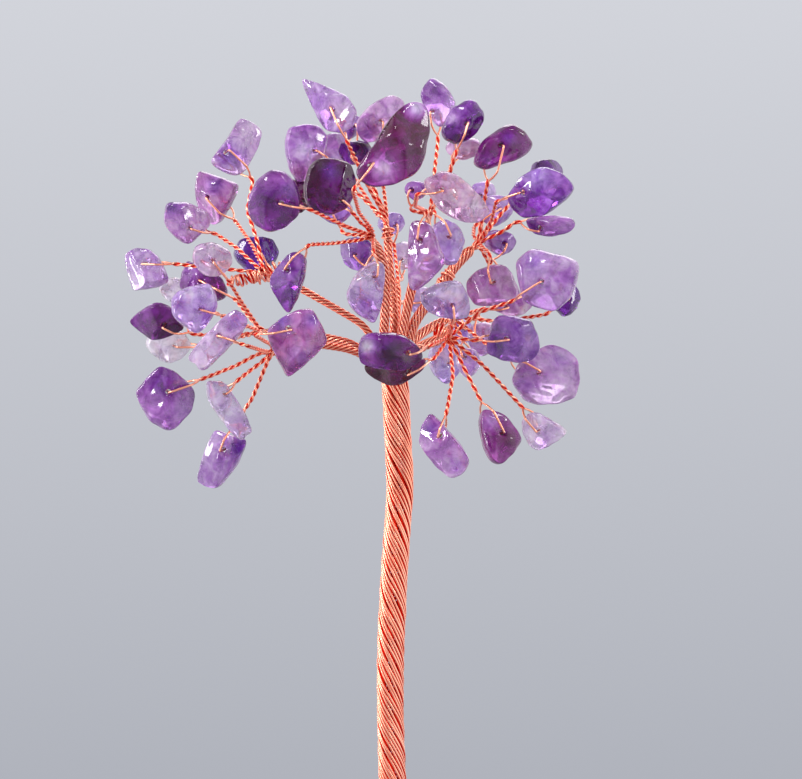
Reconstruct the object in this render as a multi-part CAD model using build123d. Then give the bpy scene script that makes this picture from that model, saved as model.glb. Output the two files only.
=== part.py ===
"""A gemstone tree ornament: amethyst chips on twisted copper wire, standing on a slice of stone.

Millimetres, +Z up, the viewer looking along +Y. The origin is the centre of the base's underside.
Every chip hangs on a wire of its own. The wire goes through the chip's drilled hole, is twisted on
itself into a twig, joins other twigs at a knot, and runs in a branch down to the fork of the trunk.
"""
import math
import os
from typing import NamedTuple

from build123d import *

# Picture scale: the crown's real width says what one pixel of the picture measures.
crown_width = 81.0
crown_left_px = 125.0
crown_right_px = 580.0
mm_per_px = crown_width / (crown_right_px - crown_left_px)
view_distance = 600.0
picture_centre_px = (401.0, 389.5)
picture_bottom_px = 779.0
foot_px = 393.0

# Crown: depths in the tables are shares of this reach in front of or behind the trunk.
crown_half_depth = 34.0

# Wire and the two-strand twigs made of it.
wire_diameter = 0.4
strand_offset_share = 0.53
twig_diameter = 0.86
touch_gap = 0.02

# Chips and their drilled holes.
chip_thickness = 5.2
hole_diameter = 1.0
chip_section_shares = [(-1.0, 0.6), (-0.6, 0.9), (0.0, 1.0), (0.6, 0.9), (1.0, 0.6)]
corner_share = 0.27
run_share = 0.45
least_turn_deg = 2.5

# Wire loops: gap to the chip's faces and edge, and the length of the neck where the legs meet.
loop_gap = 0.25
edge_gap = 0.45
neck_length = 1.5
neck_straight = 1.6
loop_tail = 0.8
mouth_bend = 0.38
leg_bend = 0.7
wire_bend_limit = 9.0

# Knots, branches and fork.
knot_radius = 1.75
knot_stop_share = 0.5
exit_run = 1.3
lead_share = 0.7
branch_diameter = 1.5
fork_radius = 2.9
branch_exit_run = 2.2
exit_spacing = 0.12

# Trunk: a core under one layer of laid strands.
trunk_diameter = 4.9
strand_count = 22
left_strand_count = 11
strand_lay = 26.0
core_gap = 0.09
strand_steps_per_turn = 4

# Roots and base, which the picture does not show.
hidden_trunk = 20.0
base_width = 84.0
base_depth = 70.0
base_thickness = 8.0
base_edge_round = 1.6
root_count = 5
root_diameter = 1.8
root_drop = 1.5
root_height = 7.0
root_reach = 21.0
root_reach_shares = [1.0, 0.86, 0.94, 0.8, 1.04]
root_start_angle = 18.0
root_bend = 4.0
root_gap = 0.05
root_end_gap = 0.12
tail_diameter = 1.2
hole_depth = 6.0
glue_diameter = 4.0
glue_gap = 0.02
cut_overrun = 1.0

fork_px = (395.0, 371.0)
trunk_px = [(397.0, 430.0), (401.0, 480.0), (395.0, 560.0), (391.0, 640.0), (390.0, 700.0), (392.5, 779.0)]


class Branch(NamedTuple):
    """A rope of wires from the fork to a knot: the knot's place, its depth and the bends before it."""
    knot_px: tuple
    depth_share: float
    bends_px: list


class Chip(NamedTuple):
    """One chip: its branch, its depth, how it is turned, and its outline, hole and wire as seen."""
    name: str
    branch: str
    depth_share: float
    thickness_share: float
    turn_deg: float
    lean_deg: float
    hole_px: tuple
    neck_px: tuple
    bends_px: list
    outline_px: list


def pebble(middle_px, width_px, height_px):
    """The outline of a chip of which little shows: a lopsided eight-cornered oval."""
    lobe_shares = [1.0, 0.92, 1.0, 0.86, 0.96, 1.0, 0.9, 0.98]
    column, row = middle_px
    outline_px = []
    for corner, lobe in enumerate(lobe_shares):
        angle = math.tau * corner / len(lobe_shares)
        across = width_px / 2 * lobe * math.cos(angle)
        down = height_px / 2 * lobe * math.sin(angle)
        outline_px.append((column + across, row + down))
    return outline_px


branches = {
    "left_mid": Branch((264, 273), -0.04, [(366, 326), (335, 308), (300, 288)]),
    "left_low": Branch((272, 351), -0.22, [(350, 349), (315, 344)]),
    "left_rear": Branch((262, 332), 0.16, [(356, 344), (318, 336)]),
    "centre_left": Branch((373, 236), -0.16, [(384, 330), (386, 300), (384, 265)]),
    "centre_top": Branch((387, 220), 0.14, [(395, 325), (392, 290), (388, 250)]),
    "centre_rear": Branch((398, 280), 0.42, [(397, 335), (398, 305)]),
    "right_top": Branch((430, 214), -0.04, [(404, 325), (410, 295), (420, 255)]),
    "right_mid": Branch((478, 243), 0.08, [(412, 325), (432, 297), (458, 262)]),
    "right_low": Branch((449, 337), -0.24, [(412, 352), (430, 342)]),
    "right_rear": Branch((452, 318), 0.3, [(412, 340), (432, 326)]),
}

# name, branch, depth share, thickness share, turn, lean, hole, neck, bends of the twig, outline
chips = [
    Chip("a1", "left_mid", 0.10, 0.95, 18, -8, (225, 153), (246, 173), [(247, 210), (257, 240)],
         [(211, 163), (228, 137), (242, 118), (262, 133), (249, 165), (236, 176)]),
    Chip("a2", "left_mid", 0.44, 0.9, -22, 10, (212, 196), (236, 222), [(252, 245)],
         [(198, 173), (213, 175), (236, 184), (235, 196), (228, 210), (220, 222), (210, 224), (197, 205)]),
    Chip("a3", "left_mid", 0.16, 1.0, 15, 14, (188, 226), (216, 234), [(238, 249)],
         [(168, 203), (190, 203), (208, 213), (210, 225), (187, 244), (168, 231), (164, 216)]),
    Chip("a4", "centre_left", -0.6, 1.15, -10, 5, (283, 203), (308, 209), [(345, 226)],
         [(274, 169), (293, 178), (299, 196), (299, 214), (285, 228), (265, 232), (251, 220), (248, 203),
          (255, 182)]),
    Chip("b1", "centre_top", 0.24, 1.0, 24, 6, (310, 150), (331, 163), [(352, 188)],
         [(290, 128), (313, 124), (326, 135), (321, 160), (301, 182), (290, 172), (286, 148)]),
    Chip("b2", "centre_top", -0.12, 0.85, -14, -12, (334, 111), (346, 139), [(356, 160), (370, 190)],
         [(303, 80), (330, 88), (348, 97), (357, 112), (354, 126), (342, 133), (325, 129), (312, 107)]),
    Chip("b3", "centre_top", 0.52, 0.9, 30, 0, (336, 150), (350, 172), [(368, 200)],
         pebble((335, 148), 32, 34)),
    Chip("b4", "centre_top", 0.17, 0.8, -25, 15, (357, 153), (367, 172), [(377, 195)],
         pebble((354, 152), 34, 26)),
    Chip("b4b", "centre_top", 0.78, 0.8, 20, -20, (351, 129), (358, 147), [(371, 185)],
         pebble((350, 127), 22, 24)),
    Chip("b5", "centre_top", 0.34, 0.9, 16, 12, (379, 120), (379, 150), [(383, 185)],
         [(357, 121), (373, 104), (395, 95), (405, 108), (387, 135), (370, 143), (359, 137)]),
    Chip("b6", "centre_left", -0.78, 1.2, 12, -6, (370, 166), (353, 190), [(359, 212)],
         [(405, 104), (425, 102), (430, 128), (421, 168), (400, 182), (380, 188), (362, 182), (357, 169),
          (371, 148), (389, 120)]),
    Chip("b7", "centre_left", -0.4, 1.1, 20, 8, (337, 199), (354, 214), [(362, 224)],
         [(304, 190), (311, 164), (325, 158), (348, 162), (355, 180), (349, 205), (331, 215), (311, 211)]),
    Chip("b7b", "centre_left", -0.04, 0.75, -18, -15, (335, 212), (343, 234), [],
         pebble((334, 210), 38, 28)),
    Chip("b8", "centre_left", 0.3, 0.9, 26, 10, (300, 198), (316, 212), [(345, 226)],
         pebble((298, 195), 27, 36)),
    Chip("c1", "right_top", 0.14, 0.85, -20, 8, (435, 111), (438, 139), [(434, 175)],
         [(432, 78), (447, 88), (455, 105), (450, 120), (440, 127), (427, 112), (422, 92)]),
    Chip("c2", "right_top", -0.12, 1.0, 14, -10, (464, 126), (456, 153), [(447, 182)],
         [(467, 100), (450, 111), (441, 133), (455, 144), (472, 138), (484, 120), (477, 105)]),
    Chip("c3", "right_top", 0.36, 0.8, -26, 12, (461, 149), (451, 166), [(443, 190)],
         pebble((464, 148), 38, 24)),
    Chip("c4", "right_mid", -0.14, 1.0, 22, 10, (497, 144), (490, 173), [(484, 205)],
         [(474, 164), (483, 141), (513, 124), (531, 142), (520, 158), (500, 165), (482, 170)]),
    Chip("c5", "right_mid", -0.42, 1.1, -16, 6, (524, 192), (501, 200), [(492, 220)],
         [(508, 196), (520, 178), (540, 167), (560, 172), (574, 188), (565, 201), (545, 215), (525, 218),
          (512, 209)]),
    Chip("c5b", "right_mid", 0.22, 0.8, 28, -10, (542, 176), (524, 188), [(500, 215)],
         pebble((546, 172), 32, 28)),
    Chip("c6", "right_mid", 0.0, 0.7, -12, 30, (541, 226), (520, 222), [(502, 232)],
         [(526, 220), (548, 217), (574, 221), (573, 229), (552, 235), (533, 233)]),
    Chip("c7", "right_top", -0.8, 1.05, 10, 12, (440, 188), (419, 194), [(415, 206)],
         [(424, 183), (440, 172), (456, 174), (475, 190), (490, 211), (480, 222), (464, 222), (440, 211)]),
    Chip("c8", "right_top", -0.16, 0.75, -30, 5, (416, 190), (411, 207), [],
         pebble((416, 190), 19, 21)),
    Chip("c9", "right_mid", 0.42, 0.95, 18, -15, (496, 213), (474, 226), [],
         pebble((495, 210), 36, 32)),
    Chip("c9b", "right_mid", 0.72, 0.8, -24, 14, (484, 194), (483, 211), [(481, 228)],
         pebble((483, 193), 25, 26)),
    Chip("c10", "right_mid", 0.2, 0.9, 30, 10, (499, 242), (490, 265), [],
         pebble((499, 242), 30, 27)),
    Chip("d1", "right_top", -0.6, 0.85, -22, 0, (423, 240), (426, 214), [],
         [(410, 226), (419, 220), (430, 225), (440, 248), (443, 265), (419, 289), (409, 283)]),
    Chip("d2", "right_top", -0.2, 0.8, 20, -8, (446, 238), (437, 218), [],
         [(433, 226), (445, 219), (459, 228), (464, 243), (455, 265), (443, 262), (434, 245)]),
    Chip("d3", "right_low", -0.5, 0.9, 12, 22, (450, 302), (452, 326), [],
         [(420, 296), (434, 286), (460, 282), (469, 300), (467, 317), (440, 317), (425, 309)]),
    Chip("d4", "centre_left", -0.5, 0.9, 24, 0, (371, 277), (373, 254), [],
         [(347, 298), (355, 276), (370, 262), (382, 263), (383, 285), (376, 322), (358, 314)]),
    Chip("d5", "centre_rear", 0.62, 0.9, -20, 12, (359, 253), (373, 268), [(385, 276)],
         [(341, 242), (362, 236), (374, 246), (372, 262), (360, 271), (346, 264)]),
    Chip("d6", "centre_left", -0.5, 0.95, -18, 0, (290, 270), (306, 248), [(335, 243)],
         [(295, 251), (306, 259), (302, 285), (289, 313), (271, 285), (278, 266)]),
    Chip("d7", "left_low", -0.66, 1.1, 14, 6, (288, 328), (263, 333), [],
         [(310, 308), (288, 314), (271, 326), (268, 338), (283, 371), (292, 375), (325, 345), (322, 325)]),
    Chip("d8", "right_low", -0.6, 1.0, 8, 14, (407, 351), (430, 345), [],
         [(359, 341), (372, 333), (400, 334), (418, 345), (422, 358), (402, 370), (378, 368), (360, 362)]),
    Chip("d8b", "right_low", -0.34, 0.75, -12, 25, (410, 370), (431, 360), [(440, 350)],
         [(364, 365), (395, 361), (425, 359), (421, 372), (398, 384), (375, 379)]),
    Chip("d9", "centre_rear", 0.6, 0.85, 22, -10, (392, 227), (394, 246), [],
         pebble((391, 224), 26, 26)),
    Chip("d10", "centre_rear", 0.88, 0.9, -15, 15, (404, 258), (402, 277), [],
         pebble((405, 255), 28, 30)),
    Chip("d11", "centre_rear", 0.66, 0.9, 28, 5, (418, 301), (398, 304), [],
         pebble((420, 300), 30, 32)),
    Chip("e1", "left_mid", 0.1, 0.95, -16, 6, (147, 263), (173, 264), [(215, 268)],
         [(125, 259), (133, 288), (146, 290), (165, 285), (167, 275), (158, 257), (148, 249), (134, 248)]),
    Chip("e2", "left_rear", -0.2, 0.85, 14, 20, (211, 258), (228, 280), [(243, 304)],
         [(195, 248), (212, 243), (228, 249), (232, 262), (222, 274), (204, 275), (193, 262)]),
    Chip("e3", "left_rear", 0.3, 0.95, -20, -10, (205, 283), (231, 297), [(246, 313)],
         [(188, 262), (207, 267), (223, 279), (228, 294), (215, 302), (190, 300), (180, 286)]),
    Chip("e4", "left_rear", -0.5, 0.95, 18, 6, (198, 309), (224, 316), [(243, 324)],
         [(171, 305), (178, 291), (206, 283), (215, 292), (216, 311), (197, 333), (176, 320)]),
    Chip("e4b", "left_rear", 0.56, 0.8, 25, 12, (178, 292), (199, 304), [(232, 322)],
         pebble((175, 290), 31, 28)),
    Chip("e5", "left_rear", -0.16, 0.9, -14, 24, (167, 322), (190, 333), [(225, 336)],
         [(131, 319), (154, 303), (170, 308), (184, 328), (158, 339), (145, 334)]),
    Chip("e6", "left_rear", 0.3, 0.9, 22, 10, (172, 345), (198, 345), [(235, 338)],
         pebble((168, 345), 46, 37)),
    Chip("e7", "left_low", -0.6, 0.9, -15, -8, (222, 338), (248, 346), [],
         [(231, 312), (242, 313), (247, 325), (207, 368), (196, 366), (190, 354)]),
    Chip("e8", "left_low", -0.5, 1.0, 12, 5, (167, 391), (199, 380), [(235, 366)],
         [(136, 393), (151, 373), (162, 366), (181, 375), (194, 391), (192, 410), (172, 430), (150, 422)]),
    Chip("e9", "left_low", -0.4, 0.85, 20, 0, (222, 394), (238, 380), [(252, 369)],
         [(206, 383), (214, 380), (227, 386), (251, 428), (246, 437), (237, 438), (209, 402)]),
    Chip("e10", "left_low", -0.1, 1.0, -18, 8, (226, 449), (235, 424), [(252, 399)],
         [(213, 432), (230, 435), (247, 440), (241, 458), (229, 476), (217, 488), (203, 484), (199, 476)]),
    Chip("e11", "left_mid", 0.4, 1.0, 16, -14, (257, 257), (268, 279), [],
         pebble((256, 254), 46, 40)),
    Chip("f1", "right_mid", -0.14, 0.9, -20, 12, (496, 281), (490, 257), [],
         [(466, 283), (481, 268), (505, 265), (518, 286), (518, 300), (497, 306), (475, 304)]),
    Chip("f1b", "right_rear", 0.12, 0.8, 24, 18, (503, 304), (483, 309), [],
         pebble((510, 304), 45, 25)),
    Chip("f2", "right_low", -0.46, 1.0, -18, 5, (545, 281), (516, 299), [(480, 312)],
         [(516, 263), (532, 249), (550, 252), (578, 262), (575, 290), (558, 310), (543, 310), (524, 300)]),
    Chip("f3", "right_rear", 0.06, 0.85, 20, -6, (564, 300), (547, 314), [(500, 322)],
         pebble((565, 299), 29, 36)),
    Chip("f4", "right_low", -0.22, 1.05, 16, 10, (504, 337), (480, 340), [],
         [(486, 350), (494, 320), (506, 315), (530, 320), (539, 340), (536, 356), (520, 363), (500, 360)]),
    Chip("f4b", "right_rear", 0.5, 0.8, -22, 10, (481, 339), (478, 312), [],
         pebble((483, 338), 31, 37)),
    Chip("f5", "right_rear", 0.08, 1.0, 14, -12, (536, 375), (510, 360), [(478, 338)],
         [(512, 380), (520, 360), (536, 349), (553, 345), (570, 352), (579, 367), (575, 398), (545, 405),
          (524, 400)]),
    Chip("f6", "right_low", -0.42, 0.95, -12, 8, (441, 435), (447, 410), [(453, 375)],
         [(430, 414), (420, 430), (421, 446), (440, 470), (453, 478), (467, 470), (467, 456), (446, 428)]),
    Chip("f7", "right_low", -0.24, 1.0, 20, -6, (498, 434), (483, 405), [(466, 372)],
         [(480, 413), (486, 409), (505, 415), (520, 440), (506, 461), (497, 465), (487, 455), (480, 432)]),
    Chip("f8", "right_low", -0.06, 0.85, -20, 12, (541, 429), (522, 407), [(484, 366)],
         [(522, 420), (535, 412), (565, 430), (560, 440), (540, 450), (530, 445), (523, 434)]),
    Chip("f9", "right_rear", 0.52, 0.9, 16, 8, (446, 362), (448, 336), [],
         pebble((445, 361), 36, 46)),
    Chip("f10", "right_rear", 0.16, 0.75, -26, 0, (468, 357), (462, 338), [],
         pebble((468, 362), 23, 32)),
    Chip("f11", "right_rear", 0.78, 0.8, 20, 10, (461, 328), (457, 312), [],
         pebble((462, 331), 22, 26)),
]

# Chips that hang loose enough in their loops to swing, and how far each way.
swing_deg = {
    "a1": 15, "a2": 12, "b1": 12, "c1": 15, "c4": 15, "c5": 10, "d6": 12, "d7": 8, "e1": 15, "e2": 15,
    "e8": 12, "e9": 12, "e10": 15, "f1": 12, "f2": 10, "f4": 10, "f5": 10, "f6": 15, "f7": 18, "f8": 18,
}


def crown_height():
    """Height of the picture's optical axis above the underside."""
    return base_thickness + hidden_trunk + (picture_bottom_px - picture_centre_px[1]) * mm_per_px


def eye_point():
    """Where the viewer's eye is."""
    return Vector((picture_centre_px[0] - foot_px) * mm_per_px, -view_distance, crown_height())


def sight(place_px, depth):
    """The point that is seen at a place of the picture, at a depth behind the trunk's own plane."""
    eye = eye_point()
    spread = mm_per_px * (view_distance + depth) / view_distance
    across = (place_px[0] - picture_centre_px[0]) * spread
    up = (picture_centre_px[1] - place_px[1]) * spread
    return Vector(eye.X + across, depth, eye.Z + up)


def sight_on(plane, place_px):
    """Where the line of sight through a place of the picture meets a plane."""
    eye = eye_point()
    towards = sight(place_px, 0) - eye
    reach = (plane.origin - eye).dot(plane.z_dir) / towards.dot(plane.z_dir)
    return eye + towards * reach


def thickness_of(chip):
    return chip_thickness * chip.thickness_share


def middle_px_of(chip):
    columns = [place[0] for place in chip.outline_px]
    rows = [place[1] for place in chip.outline_px]
    return ((min(columns) + max(columns)) / 2, (min(rows) + max(rows)) / 2)


def chip_plane(chip):
    """The chip's middle plane, its normal turned and leaned away from the viewer."""
    origin = sight(middle_px_of(chip), chip.depth_share * crown_half_depth)
    turned = Rotation(chip.lean_deg, 0, chip.turn_deg)
    normal = Vector((turned * Pos(0, -1, 0)).position)
    across = Vector((turned * Pos(1, 0, 0)).position)
    return Plane(origin=origin, x_dir=across, z_dir=normal)


def chip_outline(chip, plane):
    """The chip's outline in its own middle plane, as flat points."""
    return [plane.to_local_coords(sight_on(plane, place)) for place in chip.outline_px]


def edge_reach(outline, start, way):
    """How far the outline reaches from a start point along a way, both in the chip's plane."""
    reach = 0
    for corner, after in zip(outline, outline[1:] + outline[:1]):
        side = after - corner
        cross = way.X * side.Y - way.Y * side.X
        if abs(cross) < 1e-9:
            continue
        to_corner = corner - start
        along = (to_corner.X * side.Y - to_corner.Y * side.X) / cross
        part = (to_corner.X * way.Y - to_corner.Y * way.X) / cross
        if along > 0 and -1e-6 <= part <= 1 + 1e-6:
            reach = max(reach, along)
    return reach


class Loop(NamedTuple):
    """The wire's loop round a chip: the hole's middle, the way to the neck, and the distances."""
    hole: Vector
    way: Vector
    normal: Vector
    edge: float
    neck: float


def chip_loop(chip):
    plane = chip_plane(chip)
    outline = chip_outline(chip, plane)
    hole = plane.to_local_coords(sight_on(plane, chip.hole_px))
    neck = plane.to_local_coords(sight_on(plane, chip.neck_px))
    way = (neck - hole).normalized()
    swing = swing_deg.get(chip.name, 0)
    edge = 0
    for angle in (-swing, -swing / 2, 0, swing / 2, swing):
        edge = max(edge, edge_reach(outline, hole, way.rotate(Axis.Z, angle)))
    edge = edge + edge_gap
    neck_distance = max((neck - hole).length, edge + neck_length)
    hole_point = plane.from_local_coords(hole)
    way_point = plane.from_local_coords(hole + way) - hole_point
    return Loop(hole_point, way_point, plane.z_dir, edge, neck_distance)


def rounded(points, bends, close=False):
    """Straight runs through points, each corner an arc tangent to its two runs."""
    if close:
        befores, corners, afters = points[-1:] + points[:-1], points, points[1:] + points[:1]
    else:
        befores, corners, afters = points[:-2], points[1:-1], points[2:]
    edges = []
    end = None if close else points[0]
    for before, here, after, bend in zip(befores, corners, afters, bends):
        bend = min(bend, widest_bend(before, here, after, run_share))
        arriving = (here - before).normalized()
        leaving = (after - here).normalized()
        trim = bend * math.tan(math.radians(arriving.get_angle(leaving)) / 2)
        start = here - arriving * trim
        if end is not None:
            edges.append(Edge.make_line(end, start))
        end = here + leaving * trim
        edges.append(Edge.make_tangent_arc(start, arriving, end))
    last = edges[0] @ 0 if close else points[-1]
    edges.append(Edge.make_line(end, last))
    return Wire(edges)


def widest_bend(before, here, after, run_share):
    """The radius of the arc that takes up a share of the shorter run beside a corner."""
    turn = (here - before).get_angle(after - here)
    shorter = min((here - before).length, (after - here).length)
    return run_share * shorter / math.tan(math.radians(turn / 2))


def smooth_path(points, longest_bend=wire_bend_limit):
    """Straight runs through points, joined by arcs as large as the runs beside them allow."""
    kept = [points[0]]
    for here, after in zip(points[1:-1], points[2:]):
        turn = (here - kept[-1]).get_angle(after - here)
        if turn > least_turn_deg:
            kept.append(here)
    kept.append(points[-1])
    if len(kept) == 2:
        return Wire([Edge.make_line(kept[0], kept[1])])
    return rounded(kept, [longest_bend] * (len(kept) - 2))


def tube(path, radius):
    """A round rod along a path."""
    start = Plane(origin=path @ 0, z_dir=path % 0)
    return sweep(start * Circle(radius), path=path).solid()


def spread_ways(ways, least_angle, fixed=()):
    """Turns ways that lie closer together than the least angle apart, in small equal steps."""
    ways = [way.normalized() for way in ways]
    for _ in range(200):
        moved = False
        for one in range(len(ways)):
            for other in range(len(ways) + len(fixed)):
                if other == one:
                    continue
                mate = ways[other] if other < len(ways) else fixed[other - len(ways)]
                angle = ways[one].get_angle(mate)
                if angle < least_angle:
                    away = ways[one] - mate
                    if away.length < 1e-6:
                        away = Vector(0, 0, 1).cross(mate)
                    step = math.radians(least_angle - angle) * 0.5 + 0.002
                    ways[one] = (ways[one] + away.normalized() * step).normalized()
                    moved = True
        if not moved:
            break
    return ways


def branch_bends(branch):
    """The branch's bends and knot as points, their depths growing steadily along the way."""
    places = branch.bends_px + [branch.knot_px]
    reach = [abs(place[0] - fork_px[0]) + abs(place[1] - fork_px[1]) for place in places]
    depths = [branch.depth_share * crown_half_depth * part / reach[-1] for part in reach]
    return [sight(place, depth) for place, depth in zip(places, depths)]


def plan():
    """Works out every branch's and every twig's points."""
    fork = sight(fork_px, 0)
    bends_of = {name: branch_bends(branch) for name, branch in branches.items()}
    ways = [bends_of[name][0] - fork for name in branches]
    least = math.degrees((branch_diameter + exit_spacing) / fork_radius)
    ways = spread_ways(ways, least, fixed=[Vector(0, 0, -1)])
    branch_points = {}
    twig_points = {}
    for (name, bends), way in zip(bends_of.items(), ways):
        knot = bends[-1]
        arriving = (bends[-2] - knot).normalized()
        branch_points[name] = [
            fork + way * (fork_radius + touch_gap),
            fork + way * (fork_radius + branch_exit_run),
            *bends,
        ]
        own = [chip for chip in chips if chip.branch == name]
        loops = [chip_loop(chip) for chip in own]
        routes = []
        for chip, loop in zip(own, loops):
            neck = loop.hole + loop.way * loop.neck
            lead = loop.hole + loop.way * (loop.neck + neck_straight)
            count = len(chip.bends_px)
            depths = [knot.Y + (lead.Y - knot.Y) * (count - place) / (count + 1) for place in range(count)]
            bends_back = [sight(place, depth) for place, depth in zip(chip.bends_px, depths)]
            routes.append(bends_back[::-1] + [lead, neck])
        least = math.degrees((twig_diameter + exit_spacing) / knot_radius)
        exits = spread_ways([route[0] - knot for route in routes], least, fixed=[arriving])
        for chip, route, way_out in zip(own, routes, exits):
            start = knot + way_out * (knot_radius + touch_gap)
            lead = start + way_out * min(exit_run, lead_share * (route[0] - start).length)
            twig_points[chip.name] = [start, lead, *route]
    return branch_points, twig_points


def cut_corners(corners):
    """Each corner cut to two, a share of the side away on either side of it."""
    cut = []
    for before, here, after in zip(corners[-1:] + corners[:-1], corners, corners[1:] + corners[:1]):
        cut.append(here + (before - here) * corner_share)
        cut.append(here + (after - here) * corner_share)
    return cut


def chip_solid(chip):
    """A tumbled chip: flats between rings of corners from face to face, and the drilled hole."""
    plane = chip_plane(chip)
    outline = cut_corners(chip_outline(chip, plane))
    middle = sum(outline, Vector(0, 0, 0)) / len(outline)
    rings = []
    for level_share, size_share in chip_section_shares:
        level = plane.offset(level_share * thickness_of(chip) / 2)
        rings.append([level.from_local_coords(middle + (corner - middle) * size_share) for corner in outline])
    flats = [Face(Wire.make_polygon(rings[0])), Face(Wire.make_polygon(rings[-1]))]
    for ring, above in zip(rings, rings[1:]):
        for corner in range(len(outline)):
            flat = [ring[corner - 1], ring[corner], above[corner], above[corner - 1]]
            flats.append(Face(Wire.make_polygon(flat)))
    hole = plane.to_local_coords(sight_on(plane, chip.hole_px))
    drill = Cylinder(hole_diameter / 2, thickness_of(chip) + 2 * cut_overrun)
    return (Solid(Shell(flats)) - plane * Pos(hole.X, hole.Y, 0) * drill).solid()


def wire_solid(chip, points):
    """A chip's wire: its two-strand twig, and the single strand that goes through the chip."""
    loop = chip_loop(chip)
    side = loop.normal * (thickness_of(chip) / 2 + loop_gap + wire_diameter / 2)
    strand = loop.normal * (wire_diameter * strand_offset_share)
    edge = loop.hole + loop.way * loop.edge
    neck = loop.hole + loop.way * loop.neck
    tail = neck + loop.way * loop_tail
    corners = [tail + strand, neck + strand, edge + side, loop.hole + side,
               loop.hole - side, edge - side, neck - strand, tail - strand]
    bends = [leg_bend, leg_bend, mouth_bend, mouth_bend, leg_bend, leg_bend]
    strand_path = rounded(corners, bends)
    return tube(smooth_path(points), twig_diameter / 2) + tube(strand_path, wire_diameter / 2)


def biarc(start, start_way, end, end_way):
    """Two arcs from one point and direction to another, tangent where they meet."""
    span = end - start
    ways = start_way + end_way
    bend = 2 * (1 - start_way.dot(end_way))
    along = span.dot(ways)
    if bend < 1e-6:
        reach = span.dot(span) / (2 * along)
    else:
        reach = (math.sqrt(along * along + bend * span.dot(span)) - along) / bend
    middle = (start + start_way * reach + end - end_way * reach) / 2
    first = Edge.make_tangent_arc(start, start_way, middle)
    second = Edge.make_tangent_arc(middle, first % 1, end)
    return [first, second]


def trunk_points():
    """The trunk's centre line from the top of the roots up to the fork."""
    seen = [sight(place, 0) for place in reversed(trunk_px)]
    foot = Vector(0, 0, base_thickness + root_height)
    return [foot, *seen, sight(fork_px, 0)]


def trunk_core():
    """The trunk's inner wires as one plain rod, with the fork on top and the tail in the base's hole."""
    points = trunk_points()
    layer = wire_diameter + core_gap
    rod = tube(smooth_path(points, longest_bend=view_distance), trunk_diameter / 2 - layer)
    tail_length = root_height + hole_depth - touch_gap
    tail = Pos(0, 0, base_thickness + root_height - tail_length / 2)
    crown = Plane(origin=points[-1], z_dir=points[-1] - points[-2])
    return rod + crown * Sphere(fork_radius) + tail * Cylinder(tail_diameter / 2, tail_length)


def trunk_strands():
    """The trunk's outer wires, laid round the core and following its sway."""
    axis = smooth_path(trunk_points(), longest_bend=view_distance)
    ring = (trunk_diameter - wire_diameter) / 2
    under_fork = math.sqrt(fork_radius ** 2 - (ring - wire_diameter / 2) ** 2) + touch_gap
    length = axis.length - under_fork
    steps = round(length / strand_lay * strand_steps_per_turn)
    strands = []
    for number in range(strand_count):
        places = []
        ways = []
        for step in range(steps + 1):
            part = step / steps
            angle = math.tau * (number / strand_count - length / strand_lay * part)
            out = Vector(math.cos(angle), math.sin(angle), 0)
            around = Vector(math.sin(angle), -math.cos(angle), 0)
            place = axis @ (part * length / axis.length)
            way = axis % (part * length / axis.length)
            places.append(place + out * ring)
            ways.append((way + around * (math.tau * ring / strand_lay)).normalized())
        arcs = []
        for here, here_way, after, after_way in zip(places, ways, places[1:], ways[1:]):
            arcs += biarc(here, here_way, after, after_way)
        strands.append(tube(Wire(arcs), wire_diameter / 2))
    return strands


def root_bundles():
    """Bundles of the trunk's wires that open out below it and lie on the base."""
    ring = root_diameter / 2 / math.sin(math.pi / root_count) + root_gap
    top = base_thickness + root_height - root_end_gap
    lying = base_thickness + root_diameter / 2 + touch_gap
    roots = []
    for number, reach_share in enumerate(root_reach_shares[:root_count]):
        turn = Rotation(0, 0, root_start_angle + 360 * number / root_count)
        reach = root_reach * reach_share
        places = [(ring, 0, top), (ring, 0, top - root_drop), (ring + root_bend, 0, lying), (reach, 0, lying)]
        points = [Vector((turn * Pos(*place)).position) for place in places]
        roots.append(tube(smooth_path(points), root_diameter / 2))
    return roots


def base_slice():
    """A polished slice of stone with an uneven outline, and a blind hole for the trunk's tail."""
    reach_shares = [1.0, 0.95, 0.99, 0.93, 1.0, 0.96, 0.92, 0.98, 0.94, 0.99]
    points = []
    for corner, reach_share in enumerate(reach_shares):
        angle = math.tau * corner / len(reach_shares)
        across = base_width / 2 * reach_share * math.cos(angle)
        along = base_depth / 2 * reach_share * math.sin(angle)
        points.append((across, along))
    outline = make_face(Spline(*points, periodic=True))
    slab = extrude(outline, base_thickness)
    slab = fillet(slab.edges().group_by(Axis.Z)[-1] + slab.edges().group_by(Axis.Z)[0], base_edge_round)
    hole = Pos(0, 0, base_thickness - hole_depth / 2 + cut_overrun / 2)
    return slab - hole * Cylinder(glue_diameter / 2, hole_depth + cut_overrun)


def glue_plug():
    """The set glue round the trunk's tail in the base's hole."""
    ring = Circle(glue_diameter / 2 - glue_gap) - Circle(tail_diameter / 2 + glue_gap)
    return Pos(0, 0, base_thickness - hole_depth + glue_gap) * extrude(ring, hole_depth - glue_gap)


def group(solids):
    return Compound(children=list(solids))


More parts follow.
